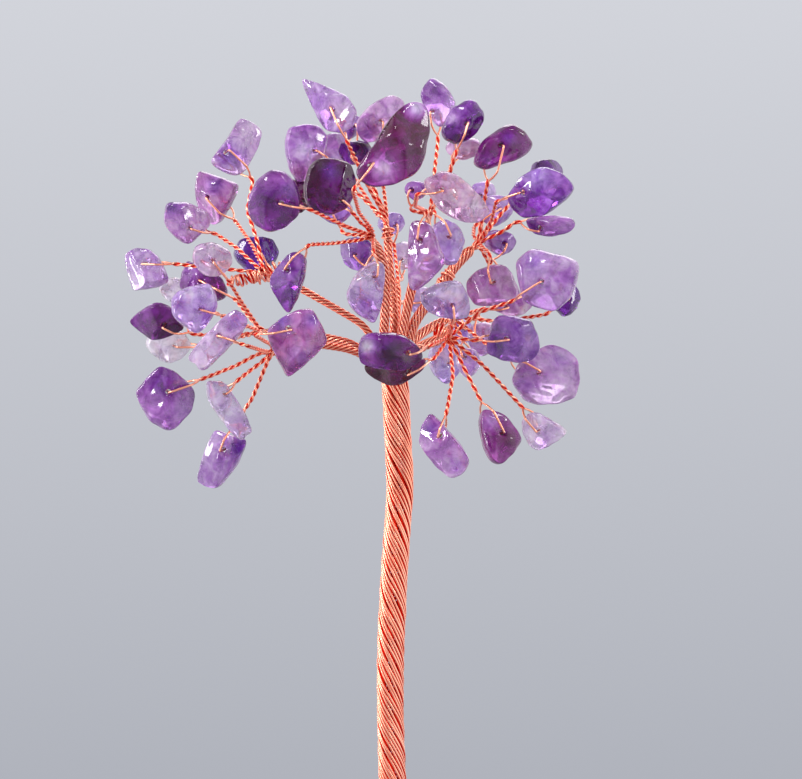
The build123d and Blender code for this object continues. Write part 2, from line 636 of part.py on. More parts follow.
def main():
    os.makedirs("parts", exist_ok=True)
    branch_points, twig_points = plan()
    strands = trunk_strands()
    nodes = {
        "base_slice": base_slice(),
        "glue_plug": glue_plug(),
        "root_bundles": group(root_bundles()),
        "trunk_core": trunk_core(),
        "trunk_strands_left": group(strands[:left_strand_count]),
        "trunk_strands_right": group(strands[left_strand_count:]),
    }
    for name, points in branch_points.items():
        knot = points[-1]
        arriving = Plane(origin=knot, z_dir=knot - points[-2])
        stop = arriving.z_dir * (knot_radius * knot_stop_share)
        rope = tube(smooth_path(points[:-1] + [knot - stop]), branch_diameter / 2)
        nodes[name + "_branch"] = rope + arriving * Sphere(knot_radius)
        own = [chip for chip in chips if chip.branch == name]
        nodes[name + "_twigs"] = group(wire_solid(chip, twig_points[chip.name]).solid() for chip in own)
        snug = [chip_solid(chip) for chip in own if chip.name not in swing_deg]
        nodes[name + "_chips"] = group(snug)
        loose = [chip for chip in own if chip.name in swing_deg]
        for number, chip in enumerate(loose, start=1):
            nodes[f"{name}_loose_chip_{number}"] = chip_solid(chip)
    for name, shape in nodes.items():
        export_step(shape, f"parts/{name}.step")
    print(len(nodes), "nodes")


main()
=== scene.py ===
"""The gemstone tree's looks: tumbled amethyst chips on twisted copper wire, on a polished stone slice.

Metres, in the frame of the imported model. The sections follow the tree as a maker would take it apart:
the view, the chips, the wires through them, the branches, the trunk and its roots, the base, and the room.
"""
import math
from collections import namedtuple

import bpy
import numpy as np
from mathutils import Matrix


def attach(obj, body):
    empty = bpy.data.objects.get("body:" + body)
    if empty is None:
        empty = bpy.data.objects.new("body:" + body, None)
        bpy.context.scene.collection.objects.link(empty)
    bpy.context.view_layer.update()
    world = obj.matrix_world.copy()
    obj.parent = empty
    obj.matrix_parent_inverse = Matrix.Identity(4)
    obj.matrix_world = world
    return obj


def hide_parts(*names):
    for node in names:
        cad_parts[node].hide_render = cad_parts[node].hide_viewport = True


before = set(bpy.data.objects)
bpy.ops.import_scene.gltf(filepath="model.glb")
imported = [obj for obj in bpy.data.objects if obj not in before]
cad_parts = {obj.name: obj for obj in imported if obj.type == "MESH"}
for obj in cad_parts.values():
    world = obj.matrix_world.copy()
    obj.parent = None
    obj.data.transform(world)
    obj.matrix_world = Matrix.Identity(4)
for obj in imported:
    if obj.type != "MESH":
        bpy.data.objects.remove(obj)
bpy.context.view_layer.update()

# The view. The picture was taken level with the crown, from about 0.6 m, with the trunk's foot below its
# lower edge. One pixel is 0.178 mm at the trunk, because the crown is 81 mm wide there.
MM = 0.001
picture_px = (802, 779)
picture_centre_px = (401.0, 389.5)
crown_width = 81 * MM
crown_width_px = 455
metres_per_px = crown_width / crown_width_px
view_distance = 600 * MM
foot_px = 393.0
base_thickness = 8 * MM
hidden_trunk = 20 * MM
eye = np.array([
    (picture_centre_px[0] - foot_px) * metres_per_px,
    -view_distance,
    base_thickness + hidden_trunk + (picture_px[1] - picture_centre_px[1]) * metres_per_px,
])

camera_data = bpy.data.cameras.new("picture_camera")
camera_data.sensor_fit = "HORIZONTAL"
camera_data.lens = camera_data.sensor_width * view_distance / (picture_px[0] * metres_per_px)
camera_data.clip_start = 10 * MM
camera = bpy.data.objects.new("picture_camera", camera_data)
camera.location = eye
camera.rotation_euler = (math.pi / 2, 0, 0)
bpy.context.scene.collection.objects.link(camera)
bpy.context.scene.camera = camera
bpy.context.scene.view_settings.view_transform = "Standard"


def sight(place_px, depth):
    """The point seen at a place of the picture, at a depth behind the trunk's plane.

    Offsets from the picture's centre grow in proportion to the distance from the eye.
    """
    place = np.asarray(place_px, dtype=float)
    spread = metres_per_px * (view_distance + depth) / view_distance
    across = (place[..., 0] - picture_centre_px[0]) * spread
    up = (picture_centre_px[1] - place[..., 1]) * spread
    return np.stack([eye[0] + across, np.full_like(across, depth), eye[2] + up], axis=-1)


# The chips. Tumbled amethyst, drilled through and polished: each is a flat pebble with rounded edges and a
# few ground flats, clear lilac to nearly black. A chip hangs in a wire loop through its hole, and the wire
# goes on by its neck and its twig's bends to the knot of its branch. Depths are shares of the crown's reach.
crown_half_depth = 34 * MM
chip_thickness = 5.2 * MM
hole_radius = 0.5 * MM


def pebble(middle_px, width_px, height_px):
    """A lopsided eight-cornered oval, for a chip of which little shows."""
    lobe_shares = [1.0, 0.92, 1.0, 0.86, 0.96, 1.0, 0.9, 0.98]
    outline_px = []
    for corner, lobe in enumerate(lobe_shares):
        angle = math.tau * corner / len(lobe_shares)
        across = width_px / 2 * lobe * math.cos(angle)
        down = height_px / 2 * lobe * math.sin(angle)
        outline_px.append((middle_px[0] + across, middle_px[1] + down))
    return outline_px


Branch = namedtuple("Branch", "knot_px depth_share bends_px")
Chip = namedtuple("Chip", "name branch depth_share thickness_share turn_deg lean_deg "
                          "hole_px neck_px bends_px outline_px")

branches = {
    "left_mid": Branch((264, 273), -0.04, [(366, 326), (335, 308), (300, 288)]),
    "left_low": Branch((272, 351), -0.22, [(350, 349), (315, 344)]),
    "left_rear": Branch((262, 332), 0.16, [(356, 344), (318, 336)]),
    "centre_left": Branch((373, 236), -0.16, [(384, 330), (386, 300), (384, 265)]),
    "centre_top": Branch((387, 220), 0.14, [(395, 325), (392, 290), (388, 250)]),
    "centre_rear": Branch((398, 280), 0.42, [(397, 335), (398, 305)]),
    "right_top": Branch((430, 214), -0.04, [(404, 325), (410, 295), (420, 255)]),
    "right_mid": Branch((478, 243), 0.08, [(412, 325), (432, 297), (458, 262)]),
    "right_low": Branch((449, 337), -0.24, [(412, 352), (430, 342)]),
    "right_rear": Branch((452, 318), 0.3, [(412, 340), (432, 326)]),
}

# name, branch, depth share, thickness share, turn, lean, hole, neck, bends of the twig, outline
chips = [
    Chip("a1", "left_mid", 0.10, 0.95, 18, -8, (225, 153), (246, 173), [(247, 210), (257, 240)],
         [(211, 163), (228, 137), (242, 118), (262, 133), (249, 165), (236, 176)]),
    Chip("a2", "left_mid", 0.44, 0.9, -22, 10, (212, 196), (236, 222), [(252, 245)],
         [(198, 173), (213, 175), (236, 184), (235, 196), (228, 210), (220, 222), (210, 224), (197, 205)]),
    Chip("a3", "left_mid", 0.16, 1.0, 15, 14, (188, 226), (216, 234), [(238, 249)],
         [(168, 203), (190, 203), (208, 213), (210, 225), (187, 244), (168, 231), (164, 216)]),
    Chip("a4", "centre_left", -0.6, 1.15, -10, 5, (283, 203), (308, 209), [(345, 226)],
         [(274, 169), (293, 178), (299, 196), (299, 214), (285, 228), (265, 232), (251, 220), (248, 203),
          (255, 182)]),
    Chip("b1", "centre_top", 0.24, 1.0, 24, 6, (310, 150), (331, 163), [(352, 188)],
         [(290, 128), (313, 124), (326, 135), (321, 160), (301, 182), (290, 172), (286, 148)]),
    Chip("b2", "centre_top", -0.12, 0.85, -14, -12, (334, 111), (346, 139), [(356, 160), (370, 190)],
         [(303, 80), (330, 88), (348, 97), (357, 112), (354, 126), (342, 133), (325, 129), (312, 107)]),
    Chip("b3", "centre_top", 0.52, 0.9, 30, 0, (336, 150), (350, 172), [(368, 200)],
         pebble((335, 148), 32, 34)),
    Chip("b4", "centre_top", 0.17, 0.8, -25, 15, (357, 153), (367, 172), [(377, 195)],
         pebble((354, 152), 34, 26)),
    Chip("b4b", "centre_top", 0.78, 0.8, 20, -20, (351, 129), (358, 147), [(371, 185)],
         pebble((350, 127), 22, 24)),
    Chip("b5", "centre_top", 0.34, 0.9, 16, 12, (379, 120), (379, 150), [(383, 185)],
         [(357, 121), (373, 104), (395, 95), (405, 108), (387, 135), (370, 143), (359, 137)]),
    Chip("b6", "centre_left", -0.78, 1.2, 12, -6, (370, 166), (353, 190), [(359, 212)],
         [(405, 104), (425, 102), (430, 128), (421, 168), (400, 182), (380, 188), (362, 182), (357, 169),
          (371, 148), (389, 120)]),
    Chip("b7", "centre_left", -0.4, 1.1, 20, 8, (337, 199), (354, 214), [(362, 224)],
         [(304, 190), (311, 164), (325, 158), (348, 162), (355, 180), (349, 205), (331, 215), (311, 211)]),
    Chip("b7b", "centre_left", -0.04, 0.75, -18, -15, (335, 212), (343, 234), [],
         pebble((334, 210), 38, 28)),
    Chip("b8", "centre_left", 0.3, 0.9, 26, 10, (300, 198), (316, 212), [(345, 226)],
         pebble((298, 195), 27, 36)),
    Chip("c1", "right_top", 0.14, 0.85, -20, 8, (435, 111), (438, 139), [(434, 175)],
         [(432, 78), (447, 88), (455, 105), (450, 120), (440, 127), (427, 112), (422, 92)]),
    Chip("c2", "right_top", -0.12, 1.0, 14, -10, (464, 126), (456, 153), [(447, 182)],
         [(467, 100), (450, 111), (441, 133), (455, 144), (472, 138), (484, 120), (477, 105)]),
    Chip("c3", "right_top", 0.36, 0.8, -26, 12, (461, 149), (451, 166), [(443, 190)],
         pebble((464, 148), 38, 24)),
    Chip("c4", "right_mid", -0.14, 1.0, 22, 10, (497, 144), (490, 173), [(484, 205)],
         [(474, 164), (483, 141), (513, 124), (531, 142), (520, 158), (500, 165), (482, 170)]),
    Chip("c5", "right_mid", -0.42, 1.1, -16, 6, (524, 192), (501, 200), [(492, 220)],
         [(508, 196), (520, 178), (540, 167), (560, 172), (574, 188), (565, 201), (545, 215), (525, 218),
          (512, 209)]),
    Chip("c5b", "right_mid", 0.22, 0.8, 28, -10, (542, 176), (524, 188), [(500, 215)],
         pebble((546, 172), 32, 28)),
    Chip("c6", "right_mid", 0.0, 0.7, -12, 30, (541, 226), (520, 222), [(502, 232)],
         [(526, 220), (548, 217), (574, 221), (573, 229), (552, 235), (533, 233)]),
    Chip("c7", "right_top", -0.8, 1.05, 10, 12, (440, 188), (419, 194), [(415, 206)],
         [(424, 183), (440, 172), (456, 174), (475, 190), (490, 211), (480, 222), (464, 222), (440, 211)]),
    Chip("c8", "right_top", -0.16, 0.75, -30, 5, (416, 190), (411, 207), [],
         pebble((416, 190), 19, 21)),
    Chip("c9", "right_mid", 0.42, 0.95, 18, -15, (496, 213), (474, 226), [],
         pebble((495, 210), 36, 32)),
    Chip("c9b", "right_mid", 0.72, 0.8, -24, 14, (484, 194), (483, 211), [(481, 228)],
         pebble((483, 193), 25, 26)),
    Chip("c10", "right_mid", 0.2, 0.9, 30, 10, (499, 242), (490, 265), [],
         pebble((499, 242), 30, 27)),
    Chip("d1", "right_top", -0.6, 0.85, -22, 0, (423, 240), (426, 214), [],
         [(410, 226), (419, 220), (430, 225), (440, 248), (443, 265), (419, 289), (409, 283)]),
    Chip("d2", "right_top", -0.2, 0.8, 20, -8, (446, 238), (437, 218), [],
         [(433, 226), (445, 219), (459, 228), (464, 243), (455, 265), (443, 262), (434, 245)]),
    Chip("d3", "right_low", -0.5, 0.9, 12, 22, (450, 302), (452, 326), [],
         [(420, 296), (434, 286), (460, 282), (469, 300), (467, 317), (440, 317), (425, 309)]),
    Chip("d4", "centre_left", -0.5, 0.9, 24, 0, (371, 277), (373, 254), [],
         [(347, 298), (355, 276), (370, 262), (382, 263), (383, 285), (376, 322), (358, 314)]),
    Chip("d5", "centre_rear", 0.62, 0.9, -20, 12, (359, 253), (373, 268), [(385, 276)],
         [(341, 242), (362, 236), (374, 246), (372, 262), (360, 271), (346, 264)]),
    Chip("d6", "centre_left", -0.5, 0.95, -18, 0, (290, 270), (306, 248), [(335, 243)],
         [(295, 251), (306, 259), (302, 285), (289, 313), (271, 285), (278, 266)]),
    Chip("d7", "left_low", -0.66, 1.1, 14, 6, (288, 328), (263, 333), [],
         [(310, 308), (288, 314), (271, 326), (268, 338), (283, 371), (292, 375), (325, 345), (322, 325)]),
    Chip("d8", "right_low", -0.6, 1.0, 8, 14, (407, 351), (430, 345), [],
         [(359, 341), (372, 333), (400, 334), (418, 345), (422, 358), (402, 370), (378, 368), (360, 362)]),
    Chip("d8b", "right_low", -0.34, 0.75, -12, 25, (410, 370), (431, 360), [(440, 350)],
         [(364, 365), (395, 361), (425, 359), (421, 372), (398, 384), (375, 379)]),
    Chip("d9", "centre_rear", 0.6, 0.85, 22, -10, (392, 227), (394, 246), [],
         pebble((391, 224), 26, 26)),
    Chip("d10", "centre_rear", 0.88, 0.9, -15, 15, (404, 258), (402, 277), [],
         pebble((405, 255), 28, 30)),
    Chip("d11", "centre_rear", 0.66, 0.9, 28, 5, (418, 301), (398, 304), [],
         pebble((420, 300), 30, 32)),
    Chip("e1", "left_mid", 0.1, 0.95, -16, 6, (147, 263), (173, 264), [(215, 268)],
         [(125, 259), (133, 288), (146, 290), (165, 285), (167, 275), (158, 257), (148, 249), (134, 248)]),
    Chip("e2", "left_rear", -0.2, 0.85, 14, 20, (211, 258), (228, 280), [(243, 304)],
         [(195, 248), (212, 243), (228, 249), (232, 262), (222, 274), (204, 275), (193, 262)]),
    Chip("e3", "left_rear", 0.3, 0.95, -20, -10, (205, 283), (231, 297), [(246, 313)],
         [(188, 262), (207, 267), (223, 279), (228, 294), (215, 302), (190, 300), (180, 286)]),
    Chip("e4", "left_rear", -0.5, 0.95, 18, 6, (198, 309), (224, 316), [(243, 324)],
         [(171, 305), (178, 291), (206, 283), (215, 292), (216, 311), (197, 333), (176, 320)]),
    Chip("e4b", "left_rear", 0.56, 0.8, 25, 12, (178, 292), (199, 304), [(232, 322)],
         pebble((175, 290), 31, 28)),
    Chip("e5", "left_rear", -0.16, 0.9, -14, 24, (167, 322), (190, 333), [(225, 336)],
         [(131, 319), (154, 303), (170, 308), (184, 328), (158, 339), (145, 334)]),
    Chip("e6", "left_rear", 0.3, 0.9, 22, 10, (172, 345), (198, 345), [(235, 338)],
         pebble((168, 345), 46, 37)),
    Chip("e7", "left_low", -0.6, 0.9, -15, -8, (222, 338), (248, 346), [],
         [(231, 312), (242, 313), (247, 325), (207, 368), (196, 366), (190, 354)]),
    Chip("e8", "left_low", -0.5, 1.0, 12, 5, (167, 391), (199, 380), [(235, 366)],
         [(136, 393), (151, 373), (162, 366), (181, 375), (194, 391), (192, 410), (172, 430), (150, 422)]),
    Chip("e9", "left_low", -0.4, 0.85, 20, 0, (222, 394), (238, 380), [(252, 369)],
         [(206, 383), (214, 380), (227, 386), (251, 428), (246, 437), (237, 438), (209, 402)]),
    Chip("e10", "left_low", -0.1, 1.0, -18, 8, (226, 449), (235, 424), [(252, 399)],
         [(213, 432), (230, 435), (247, 440), (241, 458), (229, 476), (217, 488), (203, 484), (199, 476)]),
    Chip("e11", "left_mid", 0.4, 1.0, 16, -14, (257, 257), (268, 279), [],
         pebble((256, 254), 46, 40)),
    Chip("f1", "right_mid", -0.14, 0.9, -20, 12, (496, 281), (490, 257), [],
         [(466, 283), (481, 268), (505, 265), (518, 286), (518, 300), (497, 306), (475, 304)]),
    Chip("f1b", "right_rear", 0.12, 0.8, 24, 18, (503, 304), (483, 309), [],
         pebble((510, 304), 45, 25)),
    Chip("f2", "right_low", -0.46, 1.0, -18, 5, (545, 281), (516, 299), [(480, 312)],
         [(516, 263), (532, 249), (550, 252), (578, 262), (575, 290), (558, 310), (543, 310), (524, 300)]),
    Chip("f3", "right_rear", 0.06, 0.85, 20, -6, (564, 300), (547, 314), [(500, 322)],
         pebble((565, 299), 29, 36)),
    Chip("f4", "right_low", -0.22, 1.05, 16, 10, (504, 337), (480, 340), [],
         [(486, 350), (494, 320), (506, 315), (530, 320), (539, 340), (536, 356), (520, 363), (500, 360)]),
    Chip("f4b", "right_rear", 0.5, 0.8, -22, 10, (481, 339), (478, 312), [],
         pebble((483, 338), 31, 37)),
    Chip("f5", "right_rear", 0.08, 1.0, 14, -12, (536, 375), (510, 360), [(478, 338)],
         [(512, 380), (520, 360), (536, 349), (553, 345), (570, 352), (579, 367), (575, 398), (545, 405),
          (524, 400)]),
    Chip("f6", "right_low", -0.42, 0.95, -12, 8, (441, 435), (447, 410), [(453, 375)],
         [(430, 414), (420, 430), (421, 446), (440, 470), (453, 478), (467, 470), (467, 456), (446, 428)]),
    Chip("f7", "right_low", -0.24, 1.0, 20, -6, (498, 434), (483, 405), [(466, 372)],
         [(480, 413), (486, 409), (505, 415), (520, 440), (506, 461), (497, 465), (487, 455), (480, 432)]),
    Chip("f8", "right_low", -0.06, 0.85, -20, 12, (541, 429), (522, 407), [(484, 366)],
         [(522, 420), (535, 412), (565, 430), (560, 440), (540, 450), (530, 445), (523, 434)]),
    Chip("f9", "right_rear", 0.52, 0.9, 16, 8, (446, 362), (448, 336), [],
         pebble((445, 361), 36, 46)),
    Chip("f10", "right_rear", 0.16, 0.75, -26, 0, (468, 357), (462, 338), [],
         pebble((468, 362), 23, 32)),
    Chip("f11", "right_rear", 0.78, 0.8, 20, 10, (461, 328), (457, 312), [],
         pebble((462, 331), 22, 26)),
]


def chip_plane(chip):
    """The chip's middle point and its across, upward and outward directions.

    The outward direction starts towards the viewer, is turned about the upright, then leaned back.
    """
    outline = np.array(chip.outline_px)
    middle_px = (outline.min(axis=0) + outline.max(axis=0)) / 2
    origin = sight(middle_px, chip.depth_share * crown_half_depth)
    turn = math.radians(chip.turn_deg)
    lean = math.radians(chip.lean_deg)
    turned = np.array([[math.cos(turn), -math.sin(turn), 0], [math.sin(turn), math.cos(turn), 0], [0, 0, 1]])
    leaned = np.array([[1, 0, 0], [0, math.cos(lean), -math.sin(lean)], [0, math.sin(lean), math.cos(lean)]])
    across = leaned @ turned @ np.array([1.0, 0, 0])
    outward = leaned @ turned @ np.array([0, -1.0, 0])
    return origin, across, np.cross(outward, across), outward


def in_plane(plane, place_px):
    """Where the lines of sight through places of the picture meet a chip's plane, as flat coordinates."""
    origin, across, upward, outward = plane
    towards = sight(place_px, 0) - eye
    reach = np.dot(origin - eye, outward) / (towards @ outward)
    met = eye + towards * reach[..., None] - origin
    return np.stack([met @ across, met @ upward], axis=-1)


def even_line(points, count):
    """A line through points as evenly spaced stations."""
    points = np.asarray(points)
    run = np.concatenate([[0], np.cumsum(np.linalg.norm(np.diff(points, axis=0), axis=1))])
    stations = np.linspace(0, run[-1], count)
    return np.stack([np.interp(stations, run, points[:, axis]) for axis in range(points.shape[1])], axis=-1)


side_stations = 24
corner_slope = 0.42


def closed_curve(corners, count):
    """A closed curve through corners, as evenly spaced points.

    Each side is a cubic from corner to corner whose end slopes are a share of the span between the corners'
    neighbours, so it turns softly at a corner and runs flatter between.
    """
    part = np.linspace(0, 1, side_stations, endpoint=False)[:, None, None]
    before, here = np.roll(corners, 1, axis=0), corners
    after, beyond = np.roll(corners, -1, axis=0), np.roll(corners, -2, axis=0)
    slope_here, slope_after = corner_slope * (after - before), corner_slope * (beyond - here)
    curve = (
        here * (2 * part ** 3 - 3 * part ** 2 + 1) + after * (3 * part ** 2 - 2 * part ** 3)
        + slope_here * (part ** 3 - 2 * part ** 2 + part) + slope_after * (part ** 3 - part ** 2)
    )
    curve = curve.transpose(1, 0, 2).reshape(-1, 2)
    return even_line(np.vstack([curve, curve[:1]]), count + 1)[:-1]


def grid_object(name, grids, capped):
    """One smooth object from grids of points: rows along, columns round, always closed round.

    A capped grid is open along and each of its ends is closed by one face. Otherwise the last row joins the
    first, as on a ring.
    """
    count, rows, columns = grids.shape[:3]
    index = np.arange(count * rows * columns).reshape(count, rows, columns)
    lower = index[:, :-1] if capped else index
    upper = index[:, 1:] if capped else np.roll(index, -1, axis=1)
    quads = np.stack([lower, np.roll(lower, -1, axis=2), np.roll(upper, -1, axis=2), upper], axis=-1)
    loops = quads.ravel()
    starts = np.arange(len(loops) // 4) * 4
    if capped:
        ends = np.concatenate([index[:, 0, ::-1], index[:, -1]]).reshape(-1, columns)
        starts = np.concatenate([starts, len(loops) + np.arange(len(ends)) * columns])
        loops = np.concatenate([loops, ends.ravel()])
    mesh = bpy.data.meshes.new(name)
    mesh.vertices.add(count * rows * columns)
    mesh.vertices.foreach_set("co", grids.reshape(-1).astype(np.float32))
    mesh.loops.add(len(loops))
    mesh.loops.foreach_set("vertex_index", loops.astype(np.int32))
    mesh.polygons.add(len(starts))
    mesh.polygons.foreach_set("loop_start", starts.astype(np.int32))
    mesh.update(calc_edges=True)
    mesh.polygons.foreach_set("use_smooth", np.ones(len(starts), dtype=bool))
    mesh.validate()
    piece = bpy.data.objects.new(name, mesh)
    bpy.context.scene.collection.objects.link(piece)
    return piece


def mark(piece, key, values):
    """Gives each point of a piece a value that its material reads."""
    layer = piece.data.attributes.new(key, "FLOAT", "POINT")
    layer.data.foreach_set("value", np.asarray(values, dtype=np.float32).ravel())


# What the tumbler leaves: a knocked outline, a rounded edge, ground flats, shallow waves and a sunk rim.
outline_stations = 96
face_rows = 30
hole_rows = 4
uneven_heights = (0.3, 1.0)
uneven_starts = (0, 6)
knock_counts = (4, 7, 11)
knock_share = 0.012
edge_band = (0.6, 0.95)
edge_roundness = 2.3
flats_a_face = 6
flat_slopes_deg = (9, 34)
flat_tops = (0.85, 1.1)
flat_starts = (-0.1, 0.4)
flat_ease = 0.075 * MM
least_height_share = 0.3
waves_a_face = 4
wave_lengths = (2.6 * MM, 6.5 * MM)
wave_height = 0.045 * MM
rim_depth = 0.16 * MM
rim_width = 0.14 * MM
warp_share = 0.05


def reach_towards(places, angle):
    """How far flat places lie along the direction at an angle."""
    return places @ np.array([math.cos(angle), math.sin(angle)])


def face_height(flat, middle, radius, half, swell, chance):
    """The height of one face over the chip's middle surface.

    A rounded edge is cut by a few tilted flats. The least of the edge's height and the flats' heights is
    taken with its corners eased, as minus the ease times the logarithm of the summed exponentials of the
    heights over minus the ease. Shallow waves some millimetres long are added to that.
    """
    heights = [half * swell]
    for _ in range(flats_a_face):
        angle = chance.uniform(0, math.tau)
        slope = math.tan(math.radians(chance.uniform(*flat_slopes_deg)))
        top = half * chance.uniform(*flat_tops)
        start = radius * chance.uniform(*flat_starts)
        heights.append(top + slope * (reach_towards(flat - middle, angle) + start))
    height = -flat_ease * np.log(np.exp(-np.stack(heights) / flat_ease).sum(axis=0))
    height = np.maximum(height, least_height_share * half * swell)
    wave = np.zeros_like(height)
    for _ in range(waves_a_face):
        angle = chance.uniform(0, math.tau)
        length = chance.uniform(*wave_lengths)
        start = chance.uniform(*uneven_starts)
        wave += np.sin(math.tau * reach_towards(flat, angle) / length + start)
    return np.minimum(height + wave_height * wave * swell, half)


def chip_grid(chip, seed):
    """A tumbled chip as a ring-shaped grid: over the front face, back over the rear, home through its hole.

    A point goes from the hole's rim to the outline as its row's share grows. The outline is knocked
    inwards here and there by sines of its own run. Both faces rise from it within a band, as a circle
    would whose power is the roundness instead of two, and sink a little at the rim of the hole. The
    middle surface is bent by a quadratic of the place, so the outline isn't flat.
    """
    chance = np.random.default_rng(seed)
    plane = chip_plane(chip)
    corners = in_plane(plane, chip.outline_px)
    after = np.roll(corners, -1, axis=0)
    turns_left = (corners[:, 0] * after[:, 1] - corners[:, 1] * after[:, 0]).sum() > 0
    outline = closed_curve(corners[::-1] if turns_left else corners, outline_stations)
    around = np.linspace(0, math.tau, outline_stations, endpoint=False)[:, None]
    knocks = sum(chance.uniform(*uneven_heights) * np.sin(count * around + chance.uniform(*uneven_starts))
                 for count in knock_counts)
    outline = outline + (outline - outline.mean(axis=0)) * knock_share * (knocks - knocks.max())
    hole = in_plane(plane, chip.hole_px)
    from_hole = outline - hole
    rim = hole + from_hole / np.linalg.norm(from_hole, axis=1, keepdims=True) * hole_radius
    share = np.sin(np.linspace(0, math.pi / 2, face_rows))[:, None, None]
    flat = rim + (outline - rim) * share
    gap = np.linalg.norm(flat[:, :, None, :] - outline[None, None, :, :], axis=-1).min(axis=-1)
    middle = outline.mean(axis=0)
    radius = np.linalg.norm(outline - middle, axis=1).mean()
    half = chip_thickness * chip.thickness_share / 2
    band = gap.max() * chance.uniform(*edge_band)
    swell = (1 - (1 - np.clip(gap / band, 0, 1)) ** edge_roundness) ** (1 / edge_roundness)
    rim_sink = rim_depth * np.exp(-np.linalg.norm(flat - rim, axis=-1) / rim_width)
    front = face_height(flat, middle, radius, half, swell, chance) - rim_sink
    back = rim_sink - face_height(flat, middle, radius, half, swell, chance)
    bend = chance.uniform(-warp_share, warp_share, 3)
    right, up = np.moveaxis((flat - middle) / radius, -1, 0)
    warp = radius * (bend[0] * right ** 2 + bend[1] * up ** 2 + bend[2] * right * up)
    front, back = front + warp, back + warp
    inside = np.linspace(0, 1, hole_rows + 2)[1:-1, None]
    tube = back[0] + (front[0] - back[0]) * inside
    flats = np.concatenate([flat, flat[-2::-1], np.repeat(flat[:1], hole_rows, axis=0)])
    levels = np.concatenate([front, back[-2::-1], tube])
    origin, across, upward, outward = plane
    return origin + flats[..., :1] * across + flats[..., 1:] * upward + levels[..., None] * outward


